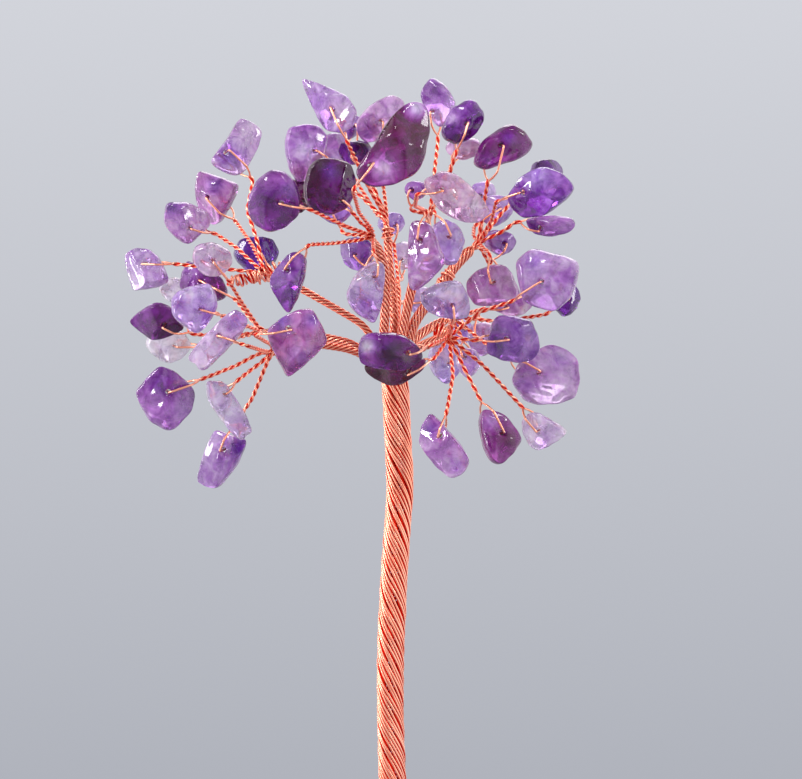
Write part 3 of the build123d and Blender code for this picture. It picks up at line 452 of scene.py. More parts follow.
# Each chip's kind of stone, how deep and how warm its violet is, from 0, clear lilac or blue-violet, to 1,
# near-black or reddish purple, and its stains: a place in the picture, a size in pixels, depth and warmth.
# The first of c5's is no stain but a painted highlight.
chip_looks = {
    "a1": ("clear", 0.3, 0.6, [(230, 155, 12, 0.62, 0.1), (250, 128, 9, 0.2, 0.6)]),
    "a2": ("banded", 0.5, 0.8, [(228, 208, 10, 0.62, 0.9), (215, 185, 9, 0.7, 0.3)]),
    "a3": ("banded", 0.38, 0.65, [(172, 206, 12, 0.78, 0.3), (198, 232, 12, 0.3, 0.5)]),
    "a4": ("deep", 0.78, 0.6, [(268, 200, 12, 0.92, 0.4), (288, 190, 8, 0.6, 0.3)]),
    "b1": ("banded", 0.46, 0.5, [(302, 150, 10, 0.25, 0.3), (298, 172, 9, 0.6, 0.95)]),
    "b2": ("clear", 0.4, 0.45, [(318, 100, 10, 0.6, 0.4), (345, 112, 10, 0.25, 0.6)]),
    "b3": ("banded", 0.48, 0.6, [(335, 160, 10, 0.3, 0.3)]),
    "b4": ("deep", 0.85, 0.4, []),
    "b4b": ("banded", 0.66, 0.4, []),
    "b5": ("banded", 0.31, 0.7, [(388, 108, 12, 0.35, 0.6), (368, 132, 9, 0.6, 0.5)]),
    "b6": ("deep", 0.9, 0.9, [(417, 108, 11, 0.2, 0.3), (383, 168, 14, 0.3, 0.55), (418, 140, 14, 1.0, 0.8)]),
    "b7": ("deep", 0.93, 0.6, [(330, 172, 9, 0.75, 0.3)]),
    "b7b": ("deep", 0.52, 0.2, []),
    "b8": ("deep", 0.93, 0.8, []),
    "c1": ("clear", 0.46, 0.45, [(430, 92, 10, 0.72, 0.5), (445, 115, 9, 0.3, 0.6)]),
    "c2": ("banded", 0.86, 0.4, [(452, 118, 7, 0.3, 0.4), (474, 128, 10, 0.82, 0.5)]),
    "c3": ("banded", 0.3, 0.8, []),
    "c4": ("deep", 0.8, 0.8, [(486, 160, 9, 0.7, 0.6), (508, 138, 8, 0.75, 0.4)]),
    # c5's first spot is a painted highlight: a paler, bluer patch where light glints at its upper left.
    "c5": ("banded", 0.7, 0.35, [(538, 176, 12, 0.45, 0.1), (520, 205, 10, 0.8, 0.5)]),
    "c5b": ("clear", 0.8, 0.4, []),
    "c6": ("banded", 0.48, 0.55, [(535, 228, 10, 0.8, 0.4)]),
    "c7": ("clear", 0.27, 1.0, [(436, 182, 12, 0.45, 0.95), (474, 208, 14, 0.2, 0.7)]),
    "c8": ("deep", 0.64, 0.5, []),
    "c9": ("banded", 0.42, 0.4, []),
    "c9b": ("banded", 0.38, 0.3, []),
    "c10": ("banded", 0.58, 0.4, []),
    "d1": ("banded", 0.5, 0.7, [(430, 262, 10, 0.4, 0.6), (414, 250, 8, 0.6, 0.7)]),
    "d2": ("banded", 0.3, 0.25, []),
    "d3": ("clear", 0.18, 0.35, [(445, 310, 10, 0.5, 0.3)]),
    "d4": ("clear", 0.26, 0.4, [(365, 305, 10, 0.5, 0.4)]),
    "d5": ("banded", 0.6, 0.3, []),
    "d6": ("banded", 0.76, 0.4, [(285, 298, 9, 0.82, 0.45), (300, 262, 8, 0.55, 0.4)]),
    "d7": ("banded", 0.56, 0.95, [(282, 322, 10, 0.6, 0.15), (300, 355, 14, 0.55, 0.6),
                              (312, 320, 9, 0.62, 0.3)]),
    "d8": ("deep", 0.88, 0.6, [(367, 346, 8, 0.05, 0.2), (388, 352, 10, 1.0, 0.3), (412, 352, 7, 0.7, 0.8)]),
    "d8b": ("deep", 0.92, 0.9, []),
    "d9": ("banded", 0.35, 0.2, []),
    "d10": ("banded", 0.21, 0.5, []),
    "d11": ("banded", 0.23, 0.3, []),
    "e1": ("clear", 0.3, 0.45, [(132, 258, 8, 0.4, 0.4), (150, 284, 9, 0.35, 0.5)]),
    "e2": ("clear", 0.22, 0.65, []),
    "e3": ("banded", 0.72, 0.6, [(218, 290, 11, 0.88, 0.8), (192, 272, 9, 0.55, 0.5)]),
    "e4": ("clear", 0.36, 0.3, [(188, 293, 9, 0.18, 0.2), (206, 312, 10, 0.5, 0.3)]),
    "e4b": ("clear", 0.01, 0.4, []),
    "e5": ("deep", 0.9, 0.6, [(140, 322, 8, 0.75, 0.6)]),
    "e6": ("clear", -0.09, 0.35, []),
    "e7": ("clear", 0.28, 0.55, [(236, 322, 9, 0.5, 0.4)]),
    "e8": ("banded", 0.62, 0.55, [(160, 385, 10, 0.82, 0.35), (182, 410, 9, 0.6, 0.45)]),
    "e9": ("clear", 0.16, 0.4, [(240, 425, 9, 0.45, 0.5)]),
    "e10": ("banded", 0.45, 0.45, [(238, 448, 9, 0.78, 0.2), (216, 478, 10, 0.42, 0.5)]),
    "e11": ("deep", 0.82, 0.1, []),
    "f1": ("banded", 0.42, 0.75, []),
    "f1b": ("banded", 0.36, 0.8, []),
    "f2": ("banded", 0.4, 0.5, [(566, 275, 9, 0.6, 0.5), (535, 262, 10, 0.42, 0.25)]),
    "f3": ("deep", 0.76, 0.3, []),
    "f4": ("banded", 0.6, 0.35, [(498, 345, 8, 0.85, 0.3), (528, 345, 8, 0.55, 0.4)]),
    "f4b": ("clear", 0.3, 0.55, []),
    "f5": ("banded", 0.35, 0.6, [(525, 385, 10, 0.6, 0.4), (560, 360, 10, 0.4, 0.4)]),
    "f6": ("banded", 0.46, 0.65, [(430, 430, 8, 0.68, 0.3), (458, 465, 9, 0.45, 0.45)]),
    "f7": ("deep", 0.7, 0.85, [(506, 440, 10, 0.92, 0.85), (490, 422, 8, 0.5, 0.4)]),
    "f8": ("clear", 0.12, 0.5, [(545, 440, 10, 0.35, 0.5)]),
    "f9": ("clear", 0.28, 0.15, []),
    "f10": ("banded", 0.32, 0.4, []),
    "f11": ("banded", 0.38, 0.15, []),
}

# Chips that hang loose enough in their wire loops to swing. Each is a body of the model.
loose_chips = {
    "a1": "left_mid_loose_chip_1", "a2": "left_mid_loose_chip_2", "e1": "left_mid_loose_chip_3",
    "d7": "left_low_loose_chip_1", "e8": "left_low_loose_chip_2", "e9": "left_low_loose_chip_3",
    "e10": "left_low_loose_chip_4", "e2": "left_rear_loose_chip_1", "d6": "centre_left_loose_chip_1",
    "b1": "centre_top_loose_chip_1", "c1": "right_top_loose_chip_1", "c4": "right_mid_loose_chip_1",
    "c5": "right_mid_loose_chip_2", "f1": "right_mid_loose_chip_3", "f2": "right_low_loose_chip_1",
    "f4": "right_low_loose_chip_2", "f6": "right_low_loose_chip_3", "f7": "right_low_loose_chip_4",
    "f8": "right_low_loose_chip_5", "f5": "right_rear_loose_chip_1",
}


def linear(code):
    """A colour written as a web code, as the linear values that the shader takes."""
    values = [int(code[place:place + 2], 16) / 255 for place in (1, 3, 5)]
    lit = [value / 12.92 if value <= 0.04045 else ((value + 0.055) / 1.055) ** 2.4 for value in values]
    return (*lit, 1.0)


def add_node(owner, kind, settings=(), stops=(), **inputs):
    """One shader node of a material or world, with its settings and links.

    An input goes by its name, or by an i and its number where several have one name. It is a number, a
    colour or another node's output. Stops are a colour ramp's places and web codes.
    """
    tree = owner.node_tree
    node = tree.nodes.new(kind)
    for key, value in dict(settings).items():
        setattr(node, key, value)
    for number, (place, code) in enumerate(stops):
        elements = node.color_ramp.elements
        element = elements[number] if number < len(elements) else elements.new(place)
        element.position = place
        element.color = linear(code)
    for key, value in inputs.items():
        socket = node.inputs[int(key[1:])] if key[1:].isdigit() else node.inputs[key.replace("_", " ")]
        if isinstance(value, bpy.types.NodeSocket):
            tree.links.new(value, socket)
        else:
            socket.default_value = value
    return node


def new_material(name):
    """A material with no nodes yet."""
    material = bpy.data.materials.new(name)
    material.use_nodes = True
    material.node_tree.nodes.clear()
    return material


def amethyst(name, clearest, cloudiest, roughness, veiling, mirror=0.5):
    """Amethyst, a quartz with an index of 1.544, tumbled and polished to a wet gloss with faint pits.

    Depth of colour comes from the chip's own zoning, broken up by cloudy veils. Light passes where the
    stone is clearest and is scattered back where fine clouds and cracks fill it. Mirror is the share that
    the gloss reflects, and less on the deep stones, which reflections would turn grey.
    """
    material = new_material(name)
    place = add_node(material, "ShaderNodeTexCoord").outputs["Object"]
    tone = add_node(material, "ShaderNodeAttribute", {"attribute_name": "tone"}).outputs["Fac"]
    warmth = add_node(material, "ShaderNodeAttribute", {"attribute_name": "warmth"}).outputs["Fac"]
    veil_size = 2.4 * MM
    veils = add_node(material, "ShaderNodeTexNoise", Vector=place, Scale=1 / veil_size, Detail=4.0,
                     Roughness=0.55, Distortion=1.2).outputs["Fac"]
    veil_push = add_node(material, "ShaderNodeMath", {"operation": "MULTIPLY_ADD"}, i0=veils, i1=veiling,
                         i2=-veiling / 2).outputs[0]
    depth = add_node(material, "ShaderNodeMath", {"operation": "ADD", "use_clamp": True}, i0=tone,
                     i1=veil_push).outputs[0]
    cool = add_node(material, "ShaderNodeValToRGB", i0=depth, stops=[
        (0.0, "#F4EEFF"), (0.25, "#D8C2FA"), (0.5, "#AC7EE4"), (0.75, "#6E30B8"),
        (1.0, "#30064E")]).outputs[0]
    warm = add_node(material, "ShaderNodeValToRGB", i0=depth, stops=[
        (0.0, "#FAF0F2"), (0.25, "#E8C2DE"), (0.5, "#C67ABE"), (0.75, "#902A80"),
        (1.0, "#560A30")]).outputs[0]
    violet = add_node(material, "ShaderNodeMix", {"data_type": "RGBA"}, i0=warmth, i6=cool,
                      i7=warm).outputs[2]
    cloud_size = 2.2 * MM
    clouds = add_node(material, "ShaderNodeTexNoise", Vector=place, Scale=1 / cloud_size, Detail=6.0,
                      Roughness=0.6, Distortion=0.6).outputs["Fac"]
    passing = add_node(material, "ShaderNodeMapRange", Value=clouds, From_Min=0.36, From_Max=0.62,
                       To_Min=clearest, To_Max=cloudiest).outputs[0]
    pit_size = 0.35 * MM
    pits = add_node(material, "ShaderNodeTexNoise", Vector=place, Scale=1 / pit_size,
                    Detail=2.0).outputs["Fac"]
    bump = add_node(material, "ShaderNodeBump", Strength=0.12, Distance=0.02 * MM, Height=pits).outputs[0]
    surface = add_node(material, "ShaderNodeBsdfPrincipled", Base_Color=violet, Transmission_Weight=passing,
                       Roughness=roughness, IOR=1.544, Specular_IOR_Level=mirror, Normal=bump)
    add_node(material, "ShaderNodeOutputMaterial", Surface=surface.outputs[0])
    return material


def seen_at(points):
    """The places of the picture at which points are seen, which is sight the other way round."""
    spread = metres_per_px * (view_distance + points[:, 1]) / view_distance
    across = (points[:, 0] - eye[0]) / spread
    up = (points[:, 2] - eye[2]) / spread
    return np.stack([picture_centre_px[0] + across, picture_centre_px[1] - up], axis=-1)


shape_seed = 11
zoning_seed = 400
zoning_shares = (0.05, 0.16)


def zoned(points, base_tone, base_warmth, stains_and_highlight, seed):
    """How deep and how warm the violet is at each point of a chip.

    It deepens along the direction in which the crystal grew. Each stain, and the one painted highlight, then
    draws the values round it to its own, by the exponential of minus the squared distance in the picture over
    its squared size.
    """
    chance = np.random.default_rng(seed)
    growth = chance.normal(size=3)
    grown = (points - points.mean(axis=0)) @ (growth / np.linalg.norm(growth))
    tone = base_tone + chance.uniform(*zoning_shares) * grown / np.abs(grown).max()
    warmth = np.full(len(points), base_warmth)
    seen = seen_at(points)
    for column, row, size, spot_tone, spot_warmth in stains_and_highlight:
        near = np.exp(-((seen - (column, row)) ** 2).sum(axis=1) / size ** 2)
        tone += (spot_tone - tone) * near
        warmth += (spot_warmth - warmth) * near
    return tone, warmth


chip_materials = {
    "clear": amethyst("clear_amethyst", clearest=0.85, cloudiest=0.45, roughness=0.06, veiling=0.75),
    "banded": amethyst("banded_amethyst", clearest=0.72, cloudiest=0.32, roughness=0.06, veiling=0.75),
    "deep": amethyst("deep_amethyst", clearest=0.7, cloudiest=0.3, roughness=0.05, veiling=0.5, mirror=0.28),
}
for number, chip in enumerate(chips):
    grid = chip_grid(chip, number + shape_seed)
    kind, base_tone, base_warmth, stains_and_highlight = chip_looks[chip.name]
    body = loose_chips.get(chip.name, "tree")
    node = loose_chips.get(chip.name, chip.branch + "_chips")
    piece = grid_object(f"chip_{chip.name}", grid[None], capped=False)
    tone, warmth = zoned(grid.reshape(-1, 3), base_tone, base_warmth, stains_and_highlight, number + zoning_seed)
    mark(piece, "tone", tone)
    mark(piece, "warmth", warmth)
    piece.data.materials.append(chip_materials[kind])
    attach(piece, body)
    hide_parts(node)


# The wires. Bright drawn copper, 0.4 mm thick, one length to a chip: it goes through the chip's hole, its two
# halves are twisted together down to the knot, laid with the branch's other pairs, and so into the trunk.
wire_radius = 0.2 * MM
wire_sides = 6


def line_length(points):
    """The length of a line through points."""
    return np.linalg.norm(np.diff(points, axis=0), axis=1).sum()


fewest_steps = 8


def eased_line(points, reach, spacing):
    """A line through points with its corners eased.

    Each station becomes the weighted mean of its neighbours within the reach on either side, with weights
    that fall off as a raised cosine. Beyond each end the line is carried on by its own half turn, so both
    ends stay in place.
    """
    line = even_line(points, max(int(line_length(points) / spacing), fewest_steps) + 1)
    half = min(max(int(reach / spacing), 1), len(line) - 1)
    weights = np.hanning(2 * half + 3)[1:-1]
    weights = weights / weights.sum()
    padded = np.vstack([2 * line[0] - line[half:0:-1], line, 2 * line[-1] - line[-2:-half - 2:-1]])
    return np.stack([np.convolve(padded[:, axis], weights, mode="valid") for axis in range(3)], axis=-1)


tiny = 1e-9
steep = 0.8


def mirrored(vectors, across):
    """Vectors mirrored in the plane square to a direction, by taking off twice their part along it."""
    size = np.maximum((across ** 2).sum(axis=1, keepdims=True), tiny ** 2)
    return vectors - 2 * across * (across * vectors).sum(axis=1, keepdims=True) / size


def line_frames(lines):
    """The directions of travel at the stations of lines, and two directions square to each.

    The first of these is carried along each line without turning round it. From one station to the next it
    is mirrored in the plane halfway between them, then mirrored again so that the mirrored direction of
    travel falls on the next one. The second is square to both.
    """
    steps = np.gradient(lines, axis=-2)
    travel = steps / np.maximum(np.linalg.norm(steps, axis=-1, keepdims=True), tiny)
    start = travel[:, 0]
    upright = np.where(np.abs(start[:, 2:]) < steep, [[0.0, 0.0, 1.0]], [[1.0, 0.0, 0.0]])
    sideways = np.cross(start, upright)
    carried = np.zeros_like(lines)
    carried[:, 0] = sideways / np.linalg.norm(sideways, axis=1, keepdims=True)
    for station in range(lines.shape[1] - 1):
        across = lines[:, station + 1] - lines[:, station]
        way = mirrored(travel[:, station], across)
        side = mirrored(carried[:, station], across)
        carried[:, station + 1] = mirrored(side, travel[:, station + 1] - way)
    return travel, carried, np.cross(travel, carried)


def line_frame(line):
    """The directions of travel of one line, and the two square to each."""
    return [part[0] for part in line_frames(line[None])]


def at_angle(angle, side, other):
    """The direction at an angle from one direction towards another that is square to it."""
    return np.cos(angle) * side + np.sin(angle) * other


def tubes(lines, radius, sides):
    """Round tubes along lines: each station's ring is the sideways direction turned round the travel."""
    _, side, other = line_frames(lines)
    angle = np.linspace(0, math.tau, sides, endpoint=False)[:, None]
    return lines[:, :, None] + radius * at_angle(angle, side[:, :, None], other[:, :, None])


spread_rounds = 200
spread_step = 0.002


def spread_ways(ways, least_angle, fixed):
    """Ways that lie closer together, or to a fixed way, than the least angle are turned apart step by step.

    Each step is half the missing angle and a hair more.
    """
    ways = [way / np.linalg.norm(way) for way in ways]
    for _ in range(spread_rounds):
        moved = False
        for one in range(len(ways)):
            for other in range(len(ways) + len(fixed)):
                if other == one:
                    continue
                mate = ways[other] if other < len(ways) else fixed[other - len(ways)]
                angle = math.acos(max(-1.0, min(1.0, float(np.dot(ways[one], mate)))))
                if angle < least_angle:
                    away = ways[one] - mate
                    step = (least_angle - angle) / 2 + spread_step
                    turned = ways[one] + away / np.linalg.norm(away) * step
                    ways[one] = turned / np.linalg.norm(turned)
                    moved = True
        if not moved:
            break
    return ways


fork_px = (395.0, 371.0)


def branch_route(branch):
    """A branch's bends and knot, their depths growing in step with their distance from the fork."""
    places = branch.bends_px + [branch.knot_px]
    reach = [abs(place[0] - fork_px[0]) + abs(place[1] - fork_px[1]) for place in places]
    return [sight(place, branch.depth_share * crown_half_depth * part / reach[-1])
            for place, part in zip(places, reach)]


def outline_reach(outline, start, way):
    """How far a flat outline reaches from a start point along a way."""
    sides = np.roll(outline, -1, axis=0) - outline
    cross = way[0] * sides[:, 1] - way[1] * sides[:, 0]
    offset = outline - start
    met = (offset[:, 0] * sides[:, 1] - offset[:, 1] * sides[:, 0]) / cross
    part = (offset[:, 0] * way[1] - offset[:, 1] * way[0]) / cross
    return met[(met > 0) & (part >= 0) & (part <= 1)].max()


Loop = namedtuple("Loop", "hole way outward edge neck half")
largest_swing_deg = 18
edge_gap = 0.6 * MM
neck_length = 1.5 * MM


def chip_loop(chip):
    """The wire's loop: its hole, the way to the twig, the outward direction, and the distances along the way.

    The edge is the farthest that the chip's outline comes under the loop as the chip swings, and a gap more.
    The neck is where the twig begins. The half is half of the chip's thickness.
    """
    plane = chip_plane(chip)
    origin, across, upward, outward = plane
    outline = in_plane(plane, chip.outline_px)
    hole, neck = in_plane(plane, [chip.hole_px, chip.neck_px])
    way = (neck - hole) / np.linalg.norm(neck - hole)
    square = np.array([-way[1], way[0]])
    swing = math.radians(largest_swing_deg if chip.name in loose_chips else 0)
    edge = edge_gap + max(outline_reach(outline, hole, at_angle(angle, way, square))
                          for angle in (-swing, 0, swing))
    reach = max(float(np.linalg.norm(neck - hole)), edge + neck_length)
    return Loop(origin + hole[0] * across + hole[1] * upward, way[0] * across + way[1] * upward, outward,
                edge, reach, chip_thickness * chip.thickness_share / 2)


def on_way(loop, distance):
    """The place at a distance from a loop's hole on the way to its twig."""
    return loop.hole + loop.way * distance


loop_gap = 0.25 * MM
mouth_run = 0.7 * MM
fold_run = 1.2 * MM
fold_share = 0.55
fold_ease = 0.45 * MM
fold_spacing = 0.05 * MM
loop_stations = 64


def wire_loop(loop):
    """The single wire of a loop: from the twig's mouth over one face, through the hole and back."""
    side = loop.outward * (loop.half + loop_gap + wire_radius)
    strand = loop.outward * wire_radius
    mouth, edge, inner = (on_way(loop, loop.edge + run) for run in (mouth_run, 0, -fold_run))
    bow = [mouth + strand, edge + side * fold_share, inner + side, loop.hole + side,
           loop.hole - side, inner - side, edge - side * fold_share, mouth - strand]
    return even_line(eased_line(bow, fold_ease, fold_spacing), loop_stations)


def twig_route(chip, loop, knot):
    """A twig's bends from the knot outwards, then its neck and its mouth.

    The bends' depths go in equal steps from the knot's to the neck's.
    """
    neck = on_way(loop, loop.neck)
    count = len(chip.bends_px)
    bends = [sight(place, knot[1] + (neck[1] - knot[1]) * (count - number) / (count + 1))
             for number, place in enumerate(chip.bends_px)]
    return [*bends[::-1], neck, on_way(loop, loop.edge + mouth_run)]


pair_stations = 380
tightest_twist = 2.4 * MM
loosest_twist = 3.6 * MM
parting_start = 2.5 * MM
parting_run = 2 * MM


def wire_pair(pair, laid, run, loop, twist):
    """The two halves of a wire along the middle line of their pair, from the trunk to the loop's mouth.

    On the branch, the outer half lies in its place in the lay and the inner half in the middle. From just
    before the knot, both are turned round the middle line, opposite each other, by one turn in each length
    of the twist, so that they come out beside the loop. The change is eased as three times the square less
    twice the cube of the share of the run.
    """
    _, side, other = line_frame(pair)
    last = math.atan2(loop.outward @ other[-1], loop.outward @ side[-1])
    length = line_length(pair)
    own_run = np.linspace(0, length, pair_stations)
    phase = last + math.tau * (length - own_run[:, None]) / twist
    twisted = wire_radius * at_angle(phase, side, other)
    apart = np.stack([np.interp(own_run, run[:, 0], laid[:, axis]) for axis in range(3)], axis=-1)
    joined = np.clip((own_run[:, None] - run[-1] + parting_start) / parting_run, 0, 1)
    joined = joined * joined * (3 - 2 * joined)
    return pair + (1 - joined) * apart + joined * twisted, pair - joined * twisted


def copper(name):
    """Bright drawn copper: fine bumps for its draw lines, and a thin uneven film that dulls it in places.

    Deep between the strands, where light reaches the eye only by way of other wires, shade is painted: the
    colour turns to a deep red there, and the shine and the clear lacquer fade. Real draw lines are finer than
    these, which are as coarse as they need to be to show.
    """
    material = new_material(name)
    place = add_node(material, "ShaderNodeTexCoord").outputs["Object"]
    film_size = 6 * MM
    film = add_node(material, "ShaderNodeTexNoise", Vector=place, Scale=1 / film_size,
                    Detail=3.0).outputs["Fac"]
    clean = add_node(material, "ShaderNodeValToRGB", i0=film, stops=[
        (0.3, "#EE9476"), (0.55, "#F4AA8E"), (0.75, "#E88868")]).outputs[0]
    # Painted shade: where a strand faces into its bundle, the colour goes to the deep red #E41E04 and the
    # shine and lacquer fade.
    groove_shade = add_node(material, "ShaderNodeAttribute", {"attribute_name": "groove_shade"}).outputs["Fac"]
    groove_shade_range = {"Value": groove_shade, "From_Min": 0.06, "From_Max": 0.34}
    share = add_node(material, "ShaderNodeMapRange", **groove_shade_range).outputs[0]
    colour = add_node(material, "ShaderNodeMix", {"data_type": "RGBA"}, i0=share, i6=clean,
                      i7=linear("#E41E04")).outputs[2]
    shine = add_node(material, "ShaderNodeMapRange", **groove_shade_range, To_Min=1.0, To_Max=0.25).outputs[0]
    lacquer = add_node(material, "ShaderNodeMapRange", **groove_shade_range, To_Min=0.5, To_Max=0.0).outputs[0]
    rough = add_node(material, "ShaderNodeMapRange", Value=film, From_Min=0.3, From_Max=0.7,
                     To_Min=0.24, To_Max=0.34).outputs[0]
    line_size = 0.12 * MM
    lines = add_node(material, "ShaderNodeTexNoise", Vector=place, Scale=1 / line_size,
                     Detail=2.0).outputs["Fac"]
    bump = add_node(material, "ShaderNodeBump", Strength=0.02, Distance=0.005 * MM, Height=lines).outputs[0]
    surface = add_node(material, "ShaderNodeBsdfPrincipled", Base_Color=colour, Metallic=shine,
                       Roughness=rough, Coat_Weight=lacquer, Coat_Roughness=0.1, Specular_IOR_Level=0.08,
                       Normal=bump)
    add_node(material, "ShaderNodeOutputMaterial", Surface=surface.outputs[0])
    return material


def mark_groove_shade(piece, grid, bundle):
    """Marks how far each place of a strand faces the middle of its bundle, where deep red shade is painted.

    That is its shortfall from the strand's outermost distance from the bundle's middle line, over its width.
    """
    distance = np.linalg.norm(grid - bundle[..., None, :], axis=-1)
    mark(piece, "groove_shade", (distance.max(axis=-1, keepdims=True) - distance) / (2 * wire_radius))


# The wound ends. At four knots the spare end of a wire is wound round the rope to hold it, unevenly, as a
# hand leaves it. Each row gives where the winding starts and ends, its radius and its turns.
wound_ends = {
    "left_mid": [((280, 266), (254, 279), 1.2 * MM, 7), ((262, 275), (229, 283), 0.95 * MM, 9)],
    "right_low": [((434, 331), (454, 336), 1.5 * MM, 7)],
    "right_mid": [((440, 287), (452, 270), 1.05 * MM, 6)],
    "centre_top": [((389, 240), (387, 226), 1.0 * MM, 5)],
}
wound_stations = 2 * pair_stations + loop_stations - 2
tucked_share = 0.35
pace_sway = (0.02, 19)
radius_sways = [(0.1, 23), (0.08, 41)]
wound_tilt = 0.4 * MM
tilt_rate = 7


def wound_end(start, end, radius, turns):
    """A wire wound round a straight line, and that line, station by station.

    Its turns run fast and slow, its radius swells and shrinks, and each turn is tilted along the line, all
    by sines of the share of the way, each with its height and rate. At both ends the last half turn is
    tucked in.
    """
    middle = even_line([start, end], wound_stations)
    travel, side, other = line_frame(middle)
    part = np.linspace(0, 1, wound_stations)[:, None]
    turn = -math.tau * turns * (part + pace_sway[0] * np.sin(pace_sway[1] * part))
    tucked = np.clip(np.minimum(part, 1 - part) * turns * 2, tucked_share, 1)
    ring = radius * tucked * (1 + sum(height * np.sin(rate * part) for height, rate in radius_sways))
    tilt = wound_tilt * np.sin(turn + tilt_rate * part) * travel
    return middle + tilt + ring * at_angle(turn, side, other), middle


# The branches. Each is a rope of its chips' pairs, laid at a steep angle, that leaves the trunk at the fork,
# runs in soft bends to its knot, and opens there into its twigs.
down = np.array([0, 0, -1.0])
fork_radius = 2.9 * MM
rope_diameter = 1.5 * MM
twig_diameter = 0.8 * MM
spread_gap = 0.12 * MM
entry_drop = 9 * MM
parting_drop = 3 * MM
branch_exit_run = 2.2 * MM
branch_ease = 3.5 * MM
branch_spacing = 0.5 * MM
knot_radius = 1.75 * MM
knot_core_share = 0.6
knot_exit_run = 1.3 * MM
# How many stations before the knot the rope's way into it is read, and how many its pairs leave out.
arrival_stations = 8
knot_stations = 3
twig_ease = 1.2 * MM
twig_spacing = 0.15 * MM
strand_room = 0.62 * MM
least_rope_ring = 0.42 * MM
rope_lay = math.radians(31)
twist_seed = 31

copper_wire = copper("drawn_copper_wire")
fork = sight(fork_px, 0)
routes = {name: branch_route(branch) for name, branch in branches.items()}
fork_ways = dict(zip(branches, spread_ways(
    [routes[name][0] - fork for name in branches], (rope_diameter + spread_gap) / fork_radius, [down])))
for name, route in routes.items():
    knot = route[-1]
    leaving = fork + fork_ways[name] * (fork_radius + branch_exit_run)
    axis = eased_line([fork + down * entry_drop, fork + down * parting_drop, leaving, *route],
                      branch_ease, branch_spacing)
    _, axis_side, axis_other = line_frame(axis)
    run = np.linspace(0, 1, len(axis))[:, None] * line_length(axis)
    own = [chip for chip in chips if chip.branch == name]
    loops = [chip_loop(chip) for chip in own]
    twigs = [twig_route(chip, loop, knot) for chip, loop in zip(own, loops)]
    arriving = axis[-arrival_stations] - knot
    twig_ways = spread_ways([twig[0] - knot for twig in twigs], (twig_diameter + spread_gap) / knot_radius,
                            [arriving / np.linalg.norm(arriving)])
    ring = max(len(own) * strand_room / math.tau, least_rope_ring)
    lay_length = math.tau * ring / math.tan(rope_lay)
    chance = np.random.default_rng(len(name) + twist_seed * len(own))
    strands = []
    middles = []
    for number, (loop, twig, way) in enumerate(zip(loops, twigs, twig_ways)):
        turn = math.tau * number / len(own) - math.tau * run / lay_length
        laid = ring * at_angle(turn, axis_side, axis_other)
        out = [knot + way * (knot_radius * knot_core_share), knot + way * (knot_radius + knot_exit_run)]
        pair = eased_line([*axis[:-knot_stations], *out, *twig], twig_ease, twig_spacing)
        pair = even_line(pair, pair_stations)
        twist = chance.uniform(tightest_twist, loosest_twist)
        outer_half, inner_half = wire_pair(pair, laid, run, loop, twist)
        bow = wire_loop(loop)[1:-1]
        strands.append(np.concatenate([outer_half, bow, inner_half[::-1]]))
        middles.append(np.concatenate([pair, bow, pair[::-1]]))
    for start_px, end_px, radius, turns in wound_ends.get(name, []):
        depth = axis[np.abs(axis - sight(start_px, knot[1])).sum(axis=1).argmin()][1]
        strand, middle = wound_end(sight(start_px, depth), sight(end_px, depth), radius, turns)
        strands.append(strand)
        middles.append(middle)
    wire_grid = tubes(np.stack(strands), wire_radius, wire_sides)
    piece = grid_object(f"{name}_wires", wire_grid, capped=True)
    mark_groove_shade(piece, wire_grid, np.stack(middles))
    piece.data.materials.append(copper_wire)
    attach(piece, "tree")
    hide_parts(f"{name}_branch", f"{name}_twigs")


# The trunk. All the wires laid into one bundle 4.9 mm thick: an outer layer of strands winds round the inner
# ones. At the top the strands part into the branches, at the foot into five bundles that lie on the base.
trunk_diameter = 4.9 * MM
root_height = 7 * MM
trunk_px = [(397.0, 430.0), (401.0, 480.0), (395.0, 560.0), (391.0, 640.0), (390.0, 700.0), (392.5, 779.0)]
trunk_ease = 8 * MM
line_spacing = 0.25 * MM
foot = np.array([0, 0, base_thickness + root_height])
trunk_places = [sight(place, 0) for place in trunk_px[::-1]]
trunk_axis = eased_line([foot, *trunk_places, fork], trunk_ease, line_spacing)
axis_run = np.linspace(0, 1, len(trunk_axis)) * line_length(trunk_axis)

# The roots. Five bundles of the same wires, opened out at the trunk's foot and bent to lie on the base, so
# that the tree stands straight.
root_diameter = 1.8 * MM
root_count = 5
root_drop = 1.5 * MM
root_bend = 4 * MM
root_ease = 1.5 * MM
root_reach = 21 * MM
root_reach_shares = [1.0, 0.86, 0.94, 0.8, 1.04]
root_start_deg = 18
root_step_deg = 360 / root_count
root_ring = root_diameter / 2 / math.sin(math.pi / root_count)
root_lines = []
for number, reach_share in enumerate(root_reach_shares):
    angle = math.radians(root_start_deg + root_step_deg * number)
    out = np.array([math.cos(angle), math.sin(angle), 0])
    lying = np.array([0, 0, base_thickness + root_diameter / 2])
    start = out * root_ring + foot
    root_lines.append(eased_line([
        start, start + down * root_drop, out * (root_ring + root_bend) + lying,
        out * root_reach * reach_share + lying], root_ease, line_spacing))


def slow_waves(run, lengths, chance):
    """Unevenness along a run: a sum of sines of several lengths, each of its own height and start."""
    return sum(chance.uniform(*uneven_heights) * np.sin(math.tau * run / length + chance.uniform(0, math.tau))
               for length in lengths)


def laid_round(axis, turn, ring):
    """A strand laid round an upright axis: the axis, moved level by the ring's radius at the turn."""
    return axis + ring * np.concatenate([np.cos(turn), np.sin(turn), np.zeros_like(turn)], axis=1)


def nearest_on(axis, line):
    """The nearest station of an axis to each station of a line."""
    return axis[np.linalg.norm(line[:, None] - axis[None], axis=-1).argmin(axis=1)]


